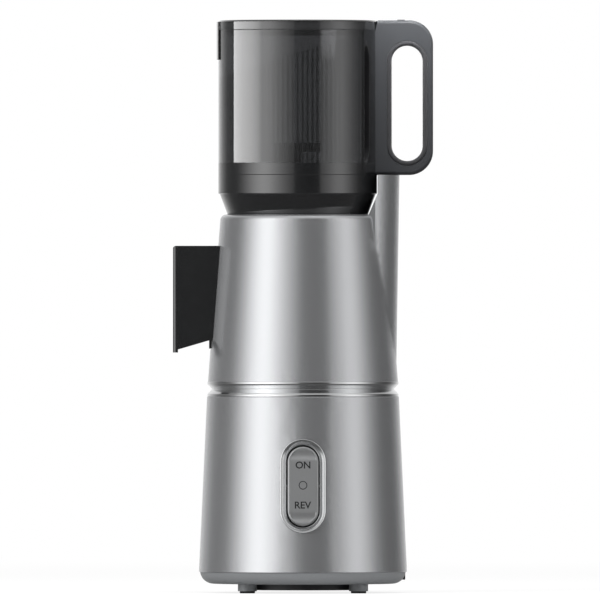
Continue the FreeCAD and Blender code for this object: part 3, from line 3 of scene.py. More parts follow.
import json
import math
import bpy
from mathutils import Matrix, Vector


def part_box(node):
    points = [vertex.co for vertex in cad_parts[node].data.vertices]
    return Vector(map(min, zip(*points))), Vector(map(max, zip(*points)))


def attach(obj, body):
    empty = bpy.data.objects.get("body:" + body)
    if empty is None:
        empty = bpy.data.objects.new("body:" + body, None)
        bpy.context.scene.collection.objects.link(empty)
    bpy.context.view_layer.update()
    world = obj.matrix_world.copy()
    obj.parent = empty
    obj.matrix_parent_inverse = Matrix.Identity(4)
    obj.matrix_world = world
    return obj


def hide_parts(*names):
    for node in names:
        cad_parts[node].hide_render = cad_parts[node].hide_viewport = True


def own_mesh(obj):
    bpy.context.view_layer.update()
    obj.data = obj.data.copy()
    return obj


bl_info = {
    "name": "Cold Press Juicer",
    "version": (1, 0, 0),
    "blender": (4, 5, 0),
    "location": "View3D > Sidebar > Juicer",
    "description": "Satin steel shells, smoked hopper, switch, springs and studio for a cold press juicer",
    "category": "Object",
}

import bmesh
import bpy
from mathutils import Matrix, Vector

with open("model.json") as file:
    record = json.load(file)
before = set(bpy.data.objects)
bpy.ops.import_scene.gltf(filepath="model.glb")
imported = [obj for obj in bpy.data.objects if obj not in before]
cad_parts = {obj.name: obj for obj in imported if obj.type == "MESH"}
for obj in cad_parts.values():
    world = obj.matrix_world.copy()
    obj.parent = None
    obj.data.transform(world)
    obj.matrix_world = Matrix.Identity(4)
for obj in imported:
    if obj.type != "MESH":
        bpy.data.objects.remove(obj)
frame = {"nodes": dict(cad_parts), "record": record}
NODES = frame["nodes"]

MM = 0.001
MERGE = 0.002 * MM

# Sizes of the solids that their boxes don't give, in millimetres

BOWL_Y = -4.45
BASE_BOTTOM = 17.5
BASE_RISE = 147.2
BASE_FOOT_R = 87.4
BASE_TAPER = 87.4 - 80.6
TRIM_R = 80.3
TRIM_BORE_R = 75.0
TRIM_GROOVE_R = 76.3
TRIM_LAND = 2.1
HOPPER_R = 66.7
HOPPER_BORE_R = 63.7
HOPPER_FOOT = 350.8
FLOOR_THICK = 10.1
WALL_CLEAR = 0.05
SPIGOT_R = 53.6
SPIGOT_BORE_R = 47.0
SEAL_GROOVE_R = 52.4
SEAL_GROOVE = (6.0, 3.0)


def linear(hex_text):
    """The linear colour of an sRGB hex value."""
    parts = [int(hex_text[i:i + 2], 16) / 255 for i in (1, 3, 5)]
    return tuple(c / 12.92 if c <= 0.04045 else ((c + 0.055) / 1.055) ** 2.4 for c in parts)


def colour_property(label, about, hex_text):
    return bpy.props.FloatVectorProperty(name=label, description=about, subtype="COLOR", size=3,
                                         min=0.0, max=1.0, default=linear(hex_text))


def length_property(label, about, millimetres):
    return bpy.props.FloatProperty(name=label, description=about, unit="LENGTH", min=0.0,
                                   default=millimetres * MM)


class JuicerSizes(bpy.types.PropertyGroup):
    """Sizes that the solids leave open."""
    turned_segments: bpy.props.IntProperty(
        name="Turned segments", description="Facets round each turned piece", default=160, min=48, max=512)
    shell_edge: length_property("Shell edge", "Round on the sheet metal edges", 0.5)
    plastic_edge: length_property("Plastic edge", "Round on moulded plastic edges", 0.4)
    hopper_ribs: bpy.props.IntProperty(
        name="Hopper ribs", description="Fine ribs round the inside of the hopper", default=96, min=8, max=200)
    rib_width: length_property("Rib width", "Width of one rib inside the hopper", 1.4)
    rib_depth: length_property("Rib depth", "How far a rib stands in from the hopper's wall", 0.7)
    letter_height: length_property("Letter height", "Height of the capitals on the switch", 5.7)
    spring_wire: length_property("Spring wire", "Diameter of the springs' wire", 0.8)


class JuicerColours(bpy.types.PropertyGroup):
    """Colours of the main finishes."""
    steel: colour_property("Satin steel", "Bead blasted and brushed stainless steel shells", "#C3C4C6")
    chrome: colour_property("Chrome", "Polished chromium plating on the trim", "#E6E7E8")
    gloss_black: colour_property("Gloss black", "Polished black ABS of the bowl and outlets", "#131415")
    smoke: colour_property("Smoke", "Tint of the clear copolyester hopper", "#6E6F71")
    handle: colour_property("Handle", "Satin grey ABS handle", "#2A2B2D")
    grip: colour_property("Grip", "Soft black elastomer lining", "#232325")
    rocker: colour_property("Rocker", "Silver painted ABS rocker", "#A9AAAB")
    lettering: colour_property("Lettering", "Dark grey pad printed lettering", "#1E1F20")
    dark_plastic: colour_property("Dark plastic", "Matt black polypropylene", "#2C2D2F")
    grey_plastic: colour_property("Grey plastic", "Grey glass filled nylon", "#77797B")


def sizes():
    return bpy.context.scene.juicer_sizes


def colours():
    return bpy.context.scene.juicer_colours


# Node helpers

# The colour sockets of a Mix node share their names with its others, so they are set by number.
MIX_A = 6
MIX_B = 7
MIX_RESULT = 2
GRAIN_DETAIL = 3.0


def add(tree, kind, inputs=None, **settings):
    """Adds a node with its settings, its input values and the links into it."""
    node = tree.nodes.new(kind)
    for key, value in settings.items():
        setattr(node, key, value)
    for key, value in (inputs or {}).items():
        if isinstance(value, bpy.types.NodeSocket):
            tree.links.new(value, node.inputs[key])
        else:
            node.inputs[key].default_value = value
    return node


def shade_of(colour, share):
    return tuple(min(1.0, c * share) for c in colour) + (1.0,)


def fresh_material(name):
    material = bpy.data.materials.new(name)
    material.use_nodes = True
    material.node_tree.nodes.clear()
    return material, material.node_tree


def grain(tree, size_mm):
    """Noise whose grains measure size_mm along X, Y and Z."""
    place = add(tree, "ShaderNodeTexCoord")
    mapping = add(tree, "ShaderNodeMapping", {"Vector": place.outputs["Object"],
                                             "Scale": tuple(1.0 / (s * MM) for s in size_mm)})
    return add(tree, "ShaderNodeTexNoise", {"Vector": mapping.outputs["Vector"], "Scale": 1.0,
                                           "Detail": GRAIN_DETAIL})


def finish_surface(tree, colour, roughness, noise, mottle, spread, relief_mm, sockets):
    """One surface whose colour, roughness and relief follow the noise."""
    ramp = add(tree, "ShaderNodeMapRange", {"Value": noise.outputs["Fac"], "From Min": 0.3, "From Max": 0.7})
    tint = add(tree, "ShaderNodeMix", {"Factor": ramp.outputs["Result"], MIX_A: shade_of(colour, 1.0 - mottle),
                                      MIX_B: shade_of(colour, 1.0 + mottle)}, data_type="RGBA")
    rough = add(tree, "ShaderNodeMapRange", {"Value": ramp.outputs["Result"],
                                            "To Min": roughness - spread, "To Max": roughness + spread})
    relief = add(tree, "ShaderNodeBump", {"Height": noise.outputs["Fac"], "Strength": 1.0,
                                         "Distance": relief_mm * MM})
    inputs = {"Base Color": tint.outputs[MIX_RESULT], "Roughness": rough.outputs["Result"],
              "Normal": relief.outputs["Normal"]}
    inputs.update(sockets)
    shader = add(tree, "ShaderNodeBsdfPrincipled", inputs)
    add(tree, "ShaderNodeOutputMaterial", {"Surface": shader.outputs["BSDF"]})


def plain_finish(name, colour, roughness, size_mm, mottle, spread, relief_mm, sockets):
    """A finish from its row: the colour is a hex value or the name of a colour in the panel."""
    material, tree = fresh_material(name)
    shade = linear(colour) if colour.startswith("#") else getattr(colours(), colour)
    finish_surface(tree, shade, roughness, grain(tree, size_mm), mottle, spread, relief_mm, sockets)
    return material


def smoked(name, tint_share, roughness):
    """Tinted clear copolyester: glassy, dark where the light crosses more of it."""
    material, tree = fresh_material(name)
    noise = grain(tree, (14, 14, 40))
    colour = tuple(c * tint_share for c in colours().smoke)
    finish_surface(tree, colour, roughness, noise, 0.05, 0.01, 0.004,
                   {"IOR": 1.5, "Transmission Weight": 1.0, "Specular IOR Level": 1.0,
                    "Coat Weight": 1.0, "Coat IOR": 1.62, "Coat Roughness": 0.02})
    return material


def banded(name, colour, dark, pitch_mm, roughness, metallic):
    """Thin stacked layers along Z, such as laminations or wound wire."""
    material, tree = fresh_material(name)
    place = add(tree, "ShaderNodeTexCoord")
    wave = add(tree, "ShaderNodeTexWave", {"Vector": place.outputs["Object"], "Scale": 1.0 / (pitch_mm * MM) / 10.0,
                                          "Distortion": 0.4, "Detail": 1.0}, bands_direction="Z")
    tint = add(tree, "ShaderNodeMix", {"Factor": wave.outputs["Fac"], MIX_A: linear(dark) + (1.0,),
                                      MIX_B: linear(colour) + (1.0,)}, data_type="RGBA")
    relief = add(tree, "ShaderNodeBump", {"Height": wave.outputs["Fac"], "Distance": 0.1 * MM})
    shader = add(tree, "ShaderNodeBsdfPrincipled", {"Base Color": tint.outputs[MIX_RESULT], "Roughness": roughness,
                                                   "Metallic": metallic, "Normal": relief.outputs["Normal"]})
    add(tree, "ShaderNodeOutputMaterial", {"Surface": shader.outputs["BSDF"]})
    return material


# Materials, one for each finish of the record. A row holds the name, the colour, the roughness, the grain's size
# along X, Y and Z in mm, the mottling, the spread of the roughness, the relief in mm and any other sockets.
# Real brushing, blasting and spark grain are 0.05 to 0.2 mm: they are drawn at 0.4 mm and more, so that they show.

PLAIN_FINISHES = {
    # Stainless sheet, blasted and then brushed round: broad soft highlights with a faint fine grain.
    "satin_steel": ("satin_stainless_steel", "steel", 0.25, (1.2, 1.2, 0.9), 0.012, 0.008, 0.0004,
                    {"Metallic": 0.86}),
    # Plated and polished: mirror reflections, hardly any texture.
    "bright_chrome": ("polished_chrome_plate", "chrome", 0.15, (6, 6, 6), 0.01, 0.02, 0.001, {"Metallic": 1.0}),
    # Polished ABS straight from the mould: deep black with clear reflections.
    "gloss_black": ("polished_black_abs", "gloss_black", 0.14, (9, 9, 9), 0.06, 0.03, 0.004,
                    {"IOR": 1.54, "Specular IOR Level": 0.9, "Coat Weight": 0.6, "Coat IOR": 1.7,
                     "Coat Roughness": 0.06}),
    # Satin moulded ABS: a fine spark grain that spreads the highlight.
    "handle_plastic": ("satin_grey_abs", "handle", 0.42, (0.9, 0.9, 0.9), 0.05, 0.05, 0.012,
                       {"Specular IOR Level": 0.3}),
    # Thermoplastic elastomer, moulded: soft, dark and a little dusty looking.
    "grip_plastic": ("soft_black_elastomer", "grip", 0.5, (1.1, 1.1, 1.1), 0.08, 0.05, 0.015,
                     {"Sheen Weight": 0.15}),
    # Metallic paint on ABS: fine flakes under a satin lacquer.
    "switch_silver": ("silver_painted_abs", "rocker", 0.32, (0.8, 0.8, 0.8), 0.03, 0.03, 0.003,
                      {"Metallic": 0.75}),
    # Pad printed ink: a thin flat film, duller than the paint under it.
    "ink": ("dark_grey_print", "lettering", 0.45, (0.5, 0.5, 0.5), 0.04, 0.04, 0.001, {}),
    # Moulded polypropylene with a matt skin: near black, with a wide weak highlight.
    "dark_plastic": ("matt_black_polypropylene", "dark_plastic", 0.5, (0.8, 0.8, 0.8), 0.08, 0.06, 0.02, {}),
    # Glass filled nylon, moulded: mid grey and slightly uneven where fibres reach the skin.
    "grey_plastic": ("grey_glass_filled_nylon", "grey_plastic", 0.48, (1.0, 1.0, 1.0), 0.06, 0.05, 0.02, {}),
    # Compression moulded nitrile: matt, near black.
    "rubber": ("black_nitrile_rubber", "#1A1A1B", 0.68, (0.7, 0.7, 0.7), 0.1, 0.06, 0.02, {}),
    # Zinc plated and passivated steel: pale with a slight cloudiness.
    "screw_steel": ("zinc_plated_steel", "#B4B6B8", 0.32, (0.6, 0.6, 0.6), 0.05, 0.06, 0.004, {"Metallic": 1.0}),
    # Cold rolled sheet: faint streaks along the rolling direction.
    "sheet_steel": ("rolled_stainless_sheet", "#BFC0C1", 0.28, (0.4, 8.0, 0.4), 0.05, 0.05, 0.004,
                    {"Metallic": 1.0}),
    # Die cast aluminium, left as cast: dull, pale and a little rough.
    "cast_alloy": ("die_cast_aluminium", "#B9BABC", 0.5, (0.9, 0.9, 0.9), 0.06, 0.07, 0.04, {"Metallic": 1.0}),
    # Ground and honed steel: bright, with fine marks along the axis.
    "bearing_steel": ("ground_bearing_steel", "#C4C5C7", 0.2, (0.5, 0.5, 3.0), 0.03, 0.04, 0.003,
                      {"Metallic": 1.0}),
    # Steel blackened in an oxide bath: dark with a dim metallic shine.
    "dark_steel": ("blackened_steel", "#3B3C3E", 0.34, (0.8, 0.8, 0.8), 0.06, 0.05, 0.006, {"Metallic": 0.6}),
    # Polyetherimide screw, moulded: dark grey with a satin skin.
    "auger_resin": ("dark_grey_polyetherimide", "#3C3D40", 0.36, (1.4, 1.4, 1.4), 0.07, 0.05, 0.02, {}),
    # Natural nylon, moulded and hobbed: milky, so light goes a little way in.
    "nylon": ("natural_nylon", "#E4DFD2", 0.4, (2.0, 2.0, 2.0), 0.03, 0.05, 0.02,
              {"Subsurface Weight": 0.1, "Subsurface Radius": (0.002, 0.002, 0.0015)}),
    # Glass epoxy board under solder mask: green with a mild gloss.
    "board_green": ("solder_mask_board", "#1F5A36", 0.35, (2.5, 2.5, 2.5), 0.12, 0.05, 0.03, {}),
}
OTHER_FINISHES = {
    # Injection moulded copolyester, polished in the mould: the wall is grey glass, and the lid is tinted deeper.
    "smoked_clear": (smoked, "smoked_clear_copolyester", 1.0, 0.03),
    "smoked_lid": (smoked, "smoked_clear_lid", 0.2, 0.04),
    # Stamped laminations in a stack: dull grey with fine level lines, drawn at twice their pitch.
    "core_steel": (banded, "stacked_electrical_steel", "#6F7072", "#3A3B3C", 1.0, 0.45, 1.0),
    # Enamelled wire, wound in layers: glossy red brown with close level lines.
    "copper_winding": (banded, "enamelled_copper_wire", "#C9753D", "#7A3A18", 1.2, 0.3, 0.9),
}
MADE = {}


def finish(slot):
    """The material of a slot, made once."""
    if slot not in MADE:
        if slot in PLAIN_FINISHES:
            MADE[slot] = plain_finish(*PLAIN_FINISHES[slot])
        else:
            maker, *values = OTHER_FINISHES[slot]
            MADE[slot] = maker(*values)
    return MADE[slot]


SLOTS = {row["node"]: row["material_slot"] for row in frame["record"]["subparts"]}
BODY_OF = {node: body for body, members in frame["record"]["behaviour"]["bodies"].items() for node in members}


# Mesh helpers

def new_piece(name, bm, smooth_limit=30.0, weigh=True):
    """Makes an object of the mesh, smooth but for its sharp edges, with its big faces kept flat looking."""
    mesh = bpy.data.meshes.new(name)
    bm.to_mesh(mesh)
    bm.free()
    mesh.shade_smooth()
    mesh.set_sharp_from_angle(angle=math.radians(smooth_limit))
    piece = bpy.data.objects.new(name, mesh)
    bpy.context.scene.collection.objects.link(piece)
    if weigh:
        weights = piece.modifiers.new("Flat faces", "WEIGHTED_NORMAL")
        weights.keep_sharp = True
        make_plain(piece)
    return piece


def make_plain(piece):
    """Replaces the piece's mesh by what its modifiers make of it."""
    bpy.context.view_layer.update()
    graph = bpy.context.evaluated_depsgraph_get()
    mesh = bpy.data.meshes.new_from_object(piece.evaluated_get(graph))
    piece.modifiers.clear()
    piece.data = mesh


def settle(piece, node, slot=None, body=None, replace=True):
    """Gives a piece its finish and its body, and hides the node that it stands for unless replace is off."""
    slot = slot or SLOTS[node]
    piece.data.materials.clear()
    piece.data.materials.append(finish(slot))
    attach(piece, body or BODY_OF[node])
    if replace:
        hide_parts(node)
    return piece


def dressed(node, name, edge, limit=40.0, segments=2):
    """A merged copy of a solid with its sharp edges rounded."""
    bm = bmesh.new()
    bm.from_mesh(NODES[node].data)
    bmesh.ops.remove_doubles(bm, verts=bm.verts, dist=MERGE)
    bmesh.ops.dissolve_limit(bm, angle_limit=math.radians(0.1), verts=bm.verts, edges=bm.edges)
    piece = new_piece(name, bm, limit, weigh=False)
    if edge:
        bevel = piece.modifiers.new("Edges", "BEVEL")
        bevel.width = edge
        bevel.segments = segments
        bevel.limit_method = "ANGLE"
        bevel.angle_limit = math.radians(limit)
        bevel.miter_outer = "MITER_ARC"
        bevel.use_clamp_overlap = True
    weights = piece.modifiers.new("Flat faces", "WEIGHTED_NORMAL")
    weights.keep_sharp = True
    make_plain(piece)
    return piece


def loft(name, loops, closed=False, caps=False, limit=30.0):
    """A skin over loops of equal length, closed in a ring or capped at its ends."""
    bm = bmesh.new()
    rows = [[bm.verts.new(p) for p in loop] for loop in loops]
    count = len(rows[0])
    pairs = list(zip(rows, rows[1:]))
    if closed:
        pairs.append((rows[-1], rows[0]))
    for low, high in pairs:
        for i in range(count):
            j = (i + 1) % count
            bm.faces.new((low[i], low[j], high[j], high[i]))
    if caps:
        bm.faces.new(rows[0])
        bm.faces.new(rows[-1])
    bmesh.ops.remove_doubles(bm, verts=bm.verts, dist=MERGE)
    bmesh.ops.recalc_face_normals(bm, faces=bm.faces)
    return new_piece(name, bm, limit)


def rounded(corners, steps=4):
    """Replaces each (radius, height, round) corner by a small curve."""
    path = []
    count = len(corners)
    for i, (r, z, turn) in enumerate(corners):
        here = Vector((r, z))
        if not turn:
            path.append((r, z))
            continue
        before = Vector(corners[i - 1][:2]) - here
        after = Vector(corners[(i + 1) % count][:2]) - here
        start = here + before.normalized() * min(turn, before.length * 0.45)
        end = here + after.normalized() * min(turn, after.length * 0.45)
        for k in range(steps + 1):
            t = k / steps
            spot = start * (1 - t) ** 2 + here * 2 * t * (1 - t) + end * t ** 2
            path.append((spot.x, spot.y))
    return path


def turned(name, corners, centre_y=0.0):
    """A turned piece from a closed profile of (radius, height, round) corners in millimetres."""
    count = sizes().turned_segments
    loops = []
    for r, z in rounded(corners):
        loops.append([Vector((r * math.cos(2 * math.pi * i / count),
                              centre_y + r * math.sin(2 * math.pi * i / count), z)) * MM for i in range(count)])
    return loft(name, loops, closed=True)


def stadium(width, height, x, steps=24):
    """An upright loop with round ends in a plane of constant x, in millimetres."""
    r = width / 2
    reach = height / 2 - r
    loop = []
    for side in (1, -1):
        for k in range(steps + 1):
            a = math.pi * k / steps
            loop.append(Vector((x, side * r * math.cos(a), side * (reach + r * math.sin(a)))))
    return loop


# The switch: upright round ended loops as (width, height, how far out), in millimetres

BEZEL_LEVELS = [
    (38.0, 78.7, -2.5), (38.0, 78.7, 0.7), (37.7, 78.4, 1.05), (37.2, 77.9, 1.2), (36.8, 77.5, 1.1),
    (35.4, 76.1, 0.35), (33.4, 74.1, -0.45), (31.2, 71.9, -1.2), (29.2, 70.2, -1.9), (28.4, 69.4, -2.0),
    (28.0, 69.0, -2.2), (28.0, 69.0, -2.5)]
ROCKER_LEVELS = [
    (26.0, 66.5, -9.0), (26.0, 66.5, -0.6), (25.7, 66.2, 0.1), (25.0, 65.5, 0.55), (24.0, 64.5, 0.8),
    (23.0, 63.5, 0.9)]
DISH_LEVELS = [(23.0 - k, 63.5 - 1.5 * k, 0.0) for k in range(1, 20)]
ROCKER_FACE = 0.9
DISH_START = 21.0
DISH_END = 31.5
DISH_DEPTH = 1.2
WORDS = (("ON", "word_on", 107.7), ("REV", "word_rev", 74.2))
MARK_Z = 90.8
MARK_RADII = (3.6, 2.9)
INK_FACE = 0.92
INK_THICK = 0.03
CAPITAL_SHARE = 0.7  # of the font's size
STROKE_GROWTH = 0.16
CIRCLE_REACH = 0.5523  # length of a quarter circle's handles, as a share of its radius

SWITCH_Z = 90.0
SWITCH_TILT = math.atan(BASE_TAPER / BASE_RISE)
SWITCH_R = BASE_FOOT_R - BASE_TAPER * (SWITCH_Z - BASE_BOTTOM) / BASE_RISE
SWITCH_PLACE = Matrix.Translation((SWITCH_R * MM, 0, SWITCH_Z * MM)) @ Matrix.Rotation(-SWITCH_TILT, 4, "Y")


def on_switch(point):
    """Carries a point in millimetres from the switch's own axes to the sloping wall."""
    return SWITCH_PLACE @ (point * MM)


# Geometry node trees

def open_tree(name, fields):
    """A geometry tree with named inputs, each (name, socket kind, default)."""
    tree = bpy.data.node_groups.new(name, "GeometryNodeTree")
    tree.interface.new_socket("Geometry", in_out="OUTPUT", socket_type="NodeSocketGeometry")
    for label, kind, default in fields:
        socket = tree.interface.new_socket(label, in_out="INPUT", socket_type=kind)
        if default is not None:
            socket.default_value = default
    return tree, add(tree, "NodeGroupInput")


def close_tree(tree, source, geometry):
    solid = add(tree, "GeometryNodeRealizeInstances", {"Geometry": geometry})
    painted = add(tree, "GeometryNodeSetMaterial", {"Geometry": solid.outputs[0],
                                                   "Material": source.outputs["Finish"]})
    add(tree, "NodeGroupOutput", {"Geometry": painted.outputs[0]})
    return tree


def grown(name, tree, values):
    """An object made by a geometry tree from named values, as a plain mesh."""
    piece = bpy.data.objects.new(name, bpy.data.meshes.new(name))
    bpy.context.scene.collection.objects.link(piece)
    maker = piece.modifiers.new("Maker", "NODES")
    maker.node_group = tree
    for item in tree.interface.items_tree:
        if item.in_out == "INPUT" and item.name in values:
            maker[item.identifier] = values[item.name]
    make_plain(piece)
    return piece


def spring_tree():
    """A coil spring: a wire swept along a helix of even pitch."""
    tree, source = open_tree("Coil spring", [
        ("Radius", "NodeSocketFloat", 3.0 * MM), ("Wire", "NodeSocketFloat", 0.8 * MM),
        ("Length", "NodeSocketFloat", 7.0 * MM), ("Turns", "NodeSocketFloat", 5.0),
        ("Place", "NodeSocketVector", (0.0, 0.0, 0.0)), ("Finish", "NodeSocketMaterial", None)])
    wire_r = add(tree, "ShaderNodeMath", {0: source.outputs["Wire"], 1: 0.5}, operation="MULTIPLY")
    reach = add(tree, "ShaderNodeMath", {0: source.outputs["Radius"], 1: wire_r.outputs[0]}, operation="SUBTRACT")
    rise = add(tree, "ShaderNodeMath", {0: source.outputs["Length"], 1: source.outputs["Wire"]}, operation="SUBTRACT")
    helix = add(tree, "GeometryNodeCurveSpiral", {"Resolution": 24, "Rotations": source.outputs["Turns"],
                                                 "Start Radius": reach.outputs[0], "End Radius": reach.outputs[0],
                                                 "Height": rise.outputs[0]})
    ring = add(tree, "GeometryNodeCurvePrimitiveCircle", {"Resolution": 10, "Radius": wire_r.outputs[0]})
    wire = add(tree, "GeometryNodeCurveToMesh", {"Curve": helix.outputs[0], "Profile Curve": ring.outputs[0],
                                                "Fill Caps": True})
    lift = add(tree, "ShaderNodeCombineXYZ", {"Z": wire_r.outputs[0]})
    spot = add(tree, "ShaderNodeVectorMath", {0: source.outputs["Place"], 1: lift.outputs[0]})
    moved = add(tree, "GeometryNodeTransform", {"Geometry": wire.outputs[0], "Translation": spot.outputs[0]})
    smooth = add(tree, "GeometryNodeSetShadeSmooth", {"Geometry": moved.outputs[0]})
    return close_tree(tree, source, smooth.outputs[0])


def rib_tree():
    """Upright ribs round the inside of a wall, whose tops follow a sloping line from front to back."""
    tree, source = open_tree("Hopper ribs", [
        ("Count", "NodeSocketInt", 64), ("Radius", "NodeSocketFloat", 63.5 * MM),
        ("Width", "NodeSocketFloat", 1.2 * MM), ("Depth", "NodeSocketFloat", 0.5 * MM),
        ("Foot", "NodeSocketFloat", 361.0 * MM), ("Middle top", "NodeSocketFloat", 453.0 * MM),
        ("Slope", "NodeSocketFloat", 0.32), ("Highest", "NodeSocketFloat", 470.0 * MM),
        ("Centre Y", "NodeSocketFloat", BOWL_Y * MM), ("Finish", "NodeSocketMaterial", None)])
    ring = add(tree, "GeometryNodeMeshCircle", {"Vertices": source.outputs["Count"],
                                               "Radius": source.outputs["Radius"]})
    spot = add(tree, "ShaderNodeSeparateXYZ", {"Vector": add(tree, "GeometryNodeInputPosition").outputs[0]})
    angle = add(tree, "ShaderNodeMath", {0: spot.outputs["Y"], 1: spot.outputs["X"]}, operation="ARCTAN2")
    turn = add(tree, "ShaderNodeCombineXYZ", {"Z": angle.outputs[0]})
    climb = add(tree, "ShaderNodeMath", {0: spot.outputs["Y"], 1: source.outputs["Slope"],
                                        2: source.outputs["Middle top"]}, operation="MULTIPLY_ADD")
    top = add(tree, "ShaderNodeMath", {0: climb.outputs[0], 1: source.outputs["Highest"]}, operation="MINIMUM")
    tall = add(tree, "ShaderNodeMath", {0: top.outputs[0], 1: source.outputs["Foot"]}, operation="SUBTRACT")
    scale = add(tree, "ShaderNodeCombineXYZ", {"X": source.outputs["Depth"], "Y": source.outputs["Width"],
                                              "Z": tall.outputs[0]})
    bar = add(tree, "GeometryNodeMeshCube", {"Size": (1.0, 1.0, 1.0)})
    seated = add(tree, "GeometryNodeTransform", {"Geometry": bar.outputs["Mesh"], "Translation": (0.0, 0.0, 0.5)})
    placed = add(tree, "GeometryNodeInstanceOnPoints", {"Points": ring.outputs[0], "Instance": seated.outputs[0],
                                                       "Rotation": turn.outputs[0], "Scale": scale.outputs[0]})
    where = add(tree, "ShaderNodeCombineXYZ", {"Y": source.outputs["Centre Y"], "Z": source.outputs["Foot"]})
    moved = add(tree, "GeometryNodeTransform", {"Geometry": placed.outputs[0], "Translation": where.outputs[0]})
    return close_tree(tree, source, moved.outputs[0])


# Operators

class JUICER_OT_base(bpy.types.Operator):
    """Builds the base shell, its cover, the vent plate and the feet"""
    bl_idname = "juicer.base"
    bl_label = "Base"
    bl_options = {"REGISTER", "UNDO"}

    def execute(self, context):
        edge = sizes().shell_edge
        settle(dressed("base_housing", "base_shell", edge), "base_housing")
        settle(dressed("bottom_cover", "underside_cover", sizes().plastic_edge), "bottom_cover")
        settle(dressed("vent_grille", "vent_plate", sizes().plastic_edge), "vent_grille")
        settle(dressed("foot_pads", "rubber_feet", sizes().plastic_edge), "foot_pads")
        return {"FINISHED"}


class JUICER_OT_body(bpy.types.Operator):
    """Builds the body shell with its column, and the chrome trim under it"""
    bl_idname = "juicer.body"
    bl_label = "Body"
    bl_options = {"REGISTER", "UNDO"}

    def execute(self, context):
        settle(dressed("body_housing", "body_shell", sizes().shell_edge, 25.0), "body_housing")
        low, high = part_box("trim_ring")
        bottom = low.z / MM
        top = high.z / MM
        ring = turned("chrome_ring", [
            (TRIM_BORE_R, bottom, 0), (TRIM_R, bottom, 0.5), (TRIM_R, bottom + TRIM_LAND, 0.6),
            (TRIM_GROOVE_R, (bottom + top) / 2, 0.8), (TRIM_R, top - TRIM_LAND, 0.6), (TRIM_R, top, 0.5),
            (TRIM_BORE_R, top, 0)])
        settle(ring, "trim_ring")
        settle(dressed("column_cap", "column_top", sizes().plastic_edge), "column_cap")
        return {"FINISHED"}


class JUICER_OT_switch(bpy.types.Operator):
    """Builds the switch's bezel, its rocker and the lettering"""
    bl_idname = "juicer.switch"
    bl_label = "Switch"
    bl_options = {"REGISTER", "UNDO"}

    def execute(self, context):
        self.bezel()
        self.rocker()
        for word, name, height_z in WORDS:
            self.letter(word, name, height_z)
        self.mark()
        return {"FINISHED"}

    def bezel(self):
        loops = [[on_switch(p) for p in stadium(w, h, x)] for w, h, x in BEZEL_LEVELS]
        settle(loft("switch_frame", loops, closed=True, limit=22.0), "switch_bezel")

    def rocker(self):
        loops = [[on_switch(p) for p in stadium(w, h, x)] for w, h, x in ROCKER_LEVELS]
        for w, h, x in DISH_LEVELS:
            loops.append([on_switch(Vector((self.dished(p.z), p.y, p.z))) for p in stadium(w, h, x)])
        settle(loft("rocker_cap", loops, caps=True, limit=40.0), "rocker")

    def dished(self, z):
        """How far out the rocker's face stands at a height: flat in the middle, hollowed near each end."""
        end = max(0.0, (abs(z) - DISH_START) / (DISH_END - DISH_START))
        return ROCKER_FACE - DISH_DEPTH * math.sin(math.pi * min(end, 1.0)) ** 2

    def face_piece(self, name, curve, height_z):
        """Makes a flat curve a mesh that lies on the rocker's face, centred at a height."""
        holder = bpy.data.objects.new(name, curve)
        bpy.context.scene.collection.objects.link(holder)
        bpy.context.view_layer.update()
        graph = bpy.context.evaluated_depsgraph_get()
        mesh = bpy.data.meshes.new_from_object(holder.evaluated_get(graph))
        bpy.data.objects.remove(holder)
        low = Vector((min(v.co.x for v in mesh.vertices), min(v.co.y for v in mesh.vertices)))
        high = Vector((max(v.co.x for v in mesh.vertices), max(v.co.y for v in mesh.vertices)))
        middle = (low + high) / 2
        rise = (height_z - SWITCH_Z) * MM / math.cos(SWITCH_TILT)
        for v in mesh.vertices:
            flat = Vector((INK_FACE * MM + v.co.z, v.co.x - middle.x, v.co.y - middle.y + rise))
            v.co = SWITCH_PLACE @ flat
        piece = bpy.data.objects.new(name, mesh)
        bpy.context.scene.collection.objects.link(piece)
        mesh.materials.clear()
        mesh.materials.append(finish("ink"))
        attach(piece, "rocker_switch")

    def letter(self, text, name, height_z):
        curve = bpy.data.curves.new(name, "FONT")
        curve.body = text
        curve.size = sizes().letter_height / CAPITAL_SHARE
        curve.extrude = INK_THICK * MM
        curve.resolution_u = 6
        curve.offset = STROKE_GROWTH * MM
        self.face_piece(name, curve, height_z)

    def mark(self):
        curve = bpy.data.curves.new("mark_off", "CURVE")
        curve.dimensions = "2D"
        curve.fill_mode = "BOTH"
        curve.extrude = INK_THICK * MM
        for radius in (r * MM for r in MARK_RADII):
            spline = curve.splines.new("BEZIER")
            spline.bezier_points.add(3)
            reach = radius * CIRCLE_REACH
            for k, knot in enumerate(spline.bezier_points):
                a = math.pi / 2 * k
                spot = Vector((radius * math.cos(a), radius * math.sin(a), 0))
                along = Vector((-math.sin(a), math.cos(a), 0)) * reach
                knot.co, knot.handle_left, knot.handle_right = spot, spot - along, spot + along
            spline.use_cyclic_u = True
        curve.resolution_u = 16
        self.face_piece("mark_off", curve, MARK_Z)


class JUICER_OT_bowl(bpy.types.Operator):
    """Builds the bowl with its lock ring, and what stands in it"""
    bl_idname = "juicer.bowl"
    bl_label = "Bowl and screw"
    bl_options = {"REGISTER", "UNDO"}

    def execute(self, context):
        settle(dressed("bowl", "juice_bowl", sizes().plastic_edge), "bowl")
        for node, name, edge in (("strainer", "strainer_cage", 0.2), ("auger", "screw_press", 0.5),
                                 ("auger_knife", "feed_knife", 0.4), ("drive_bush", "screw_bush", 0.2),
                                 ("bowl_seal", "bowl_lip_seal", 0.2)):
            settle(dressed(node, name, edge * MM), node)
        return {"FINISHED"}


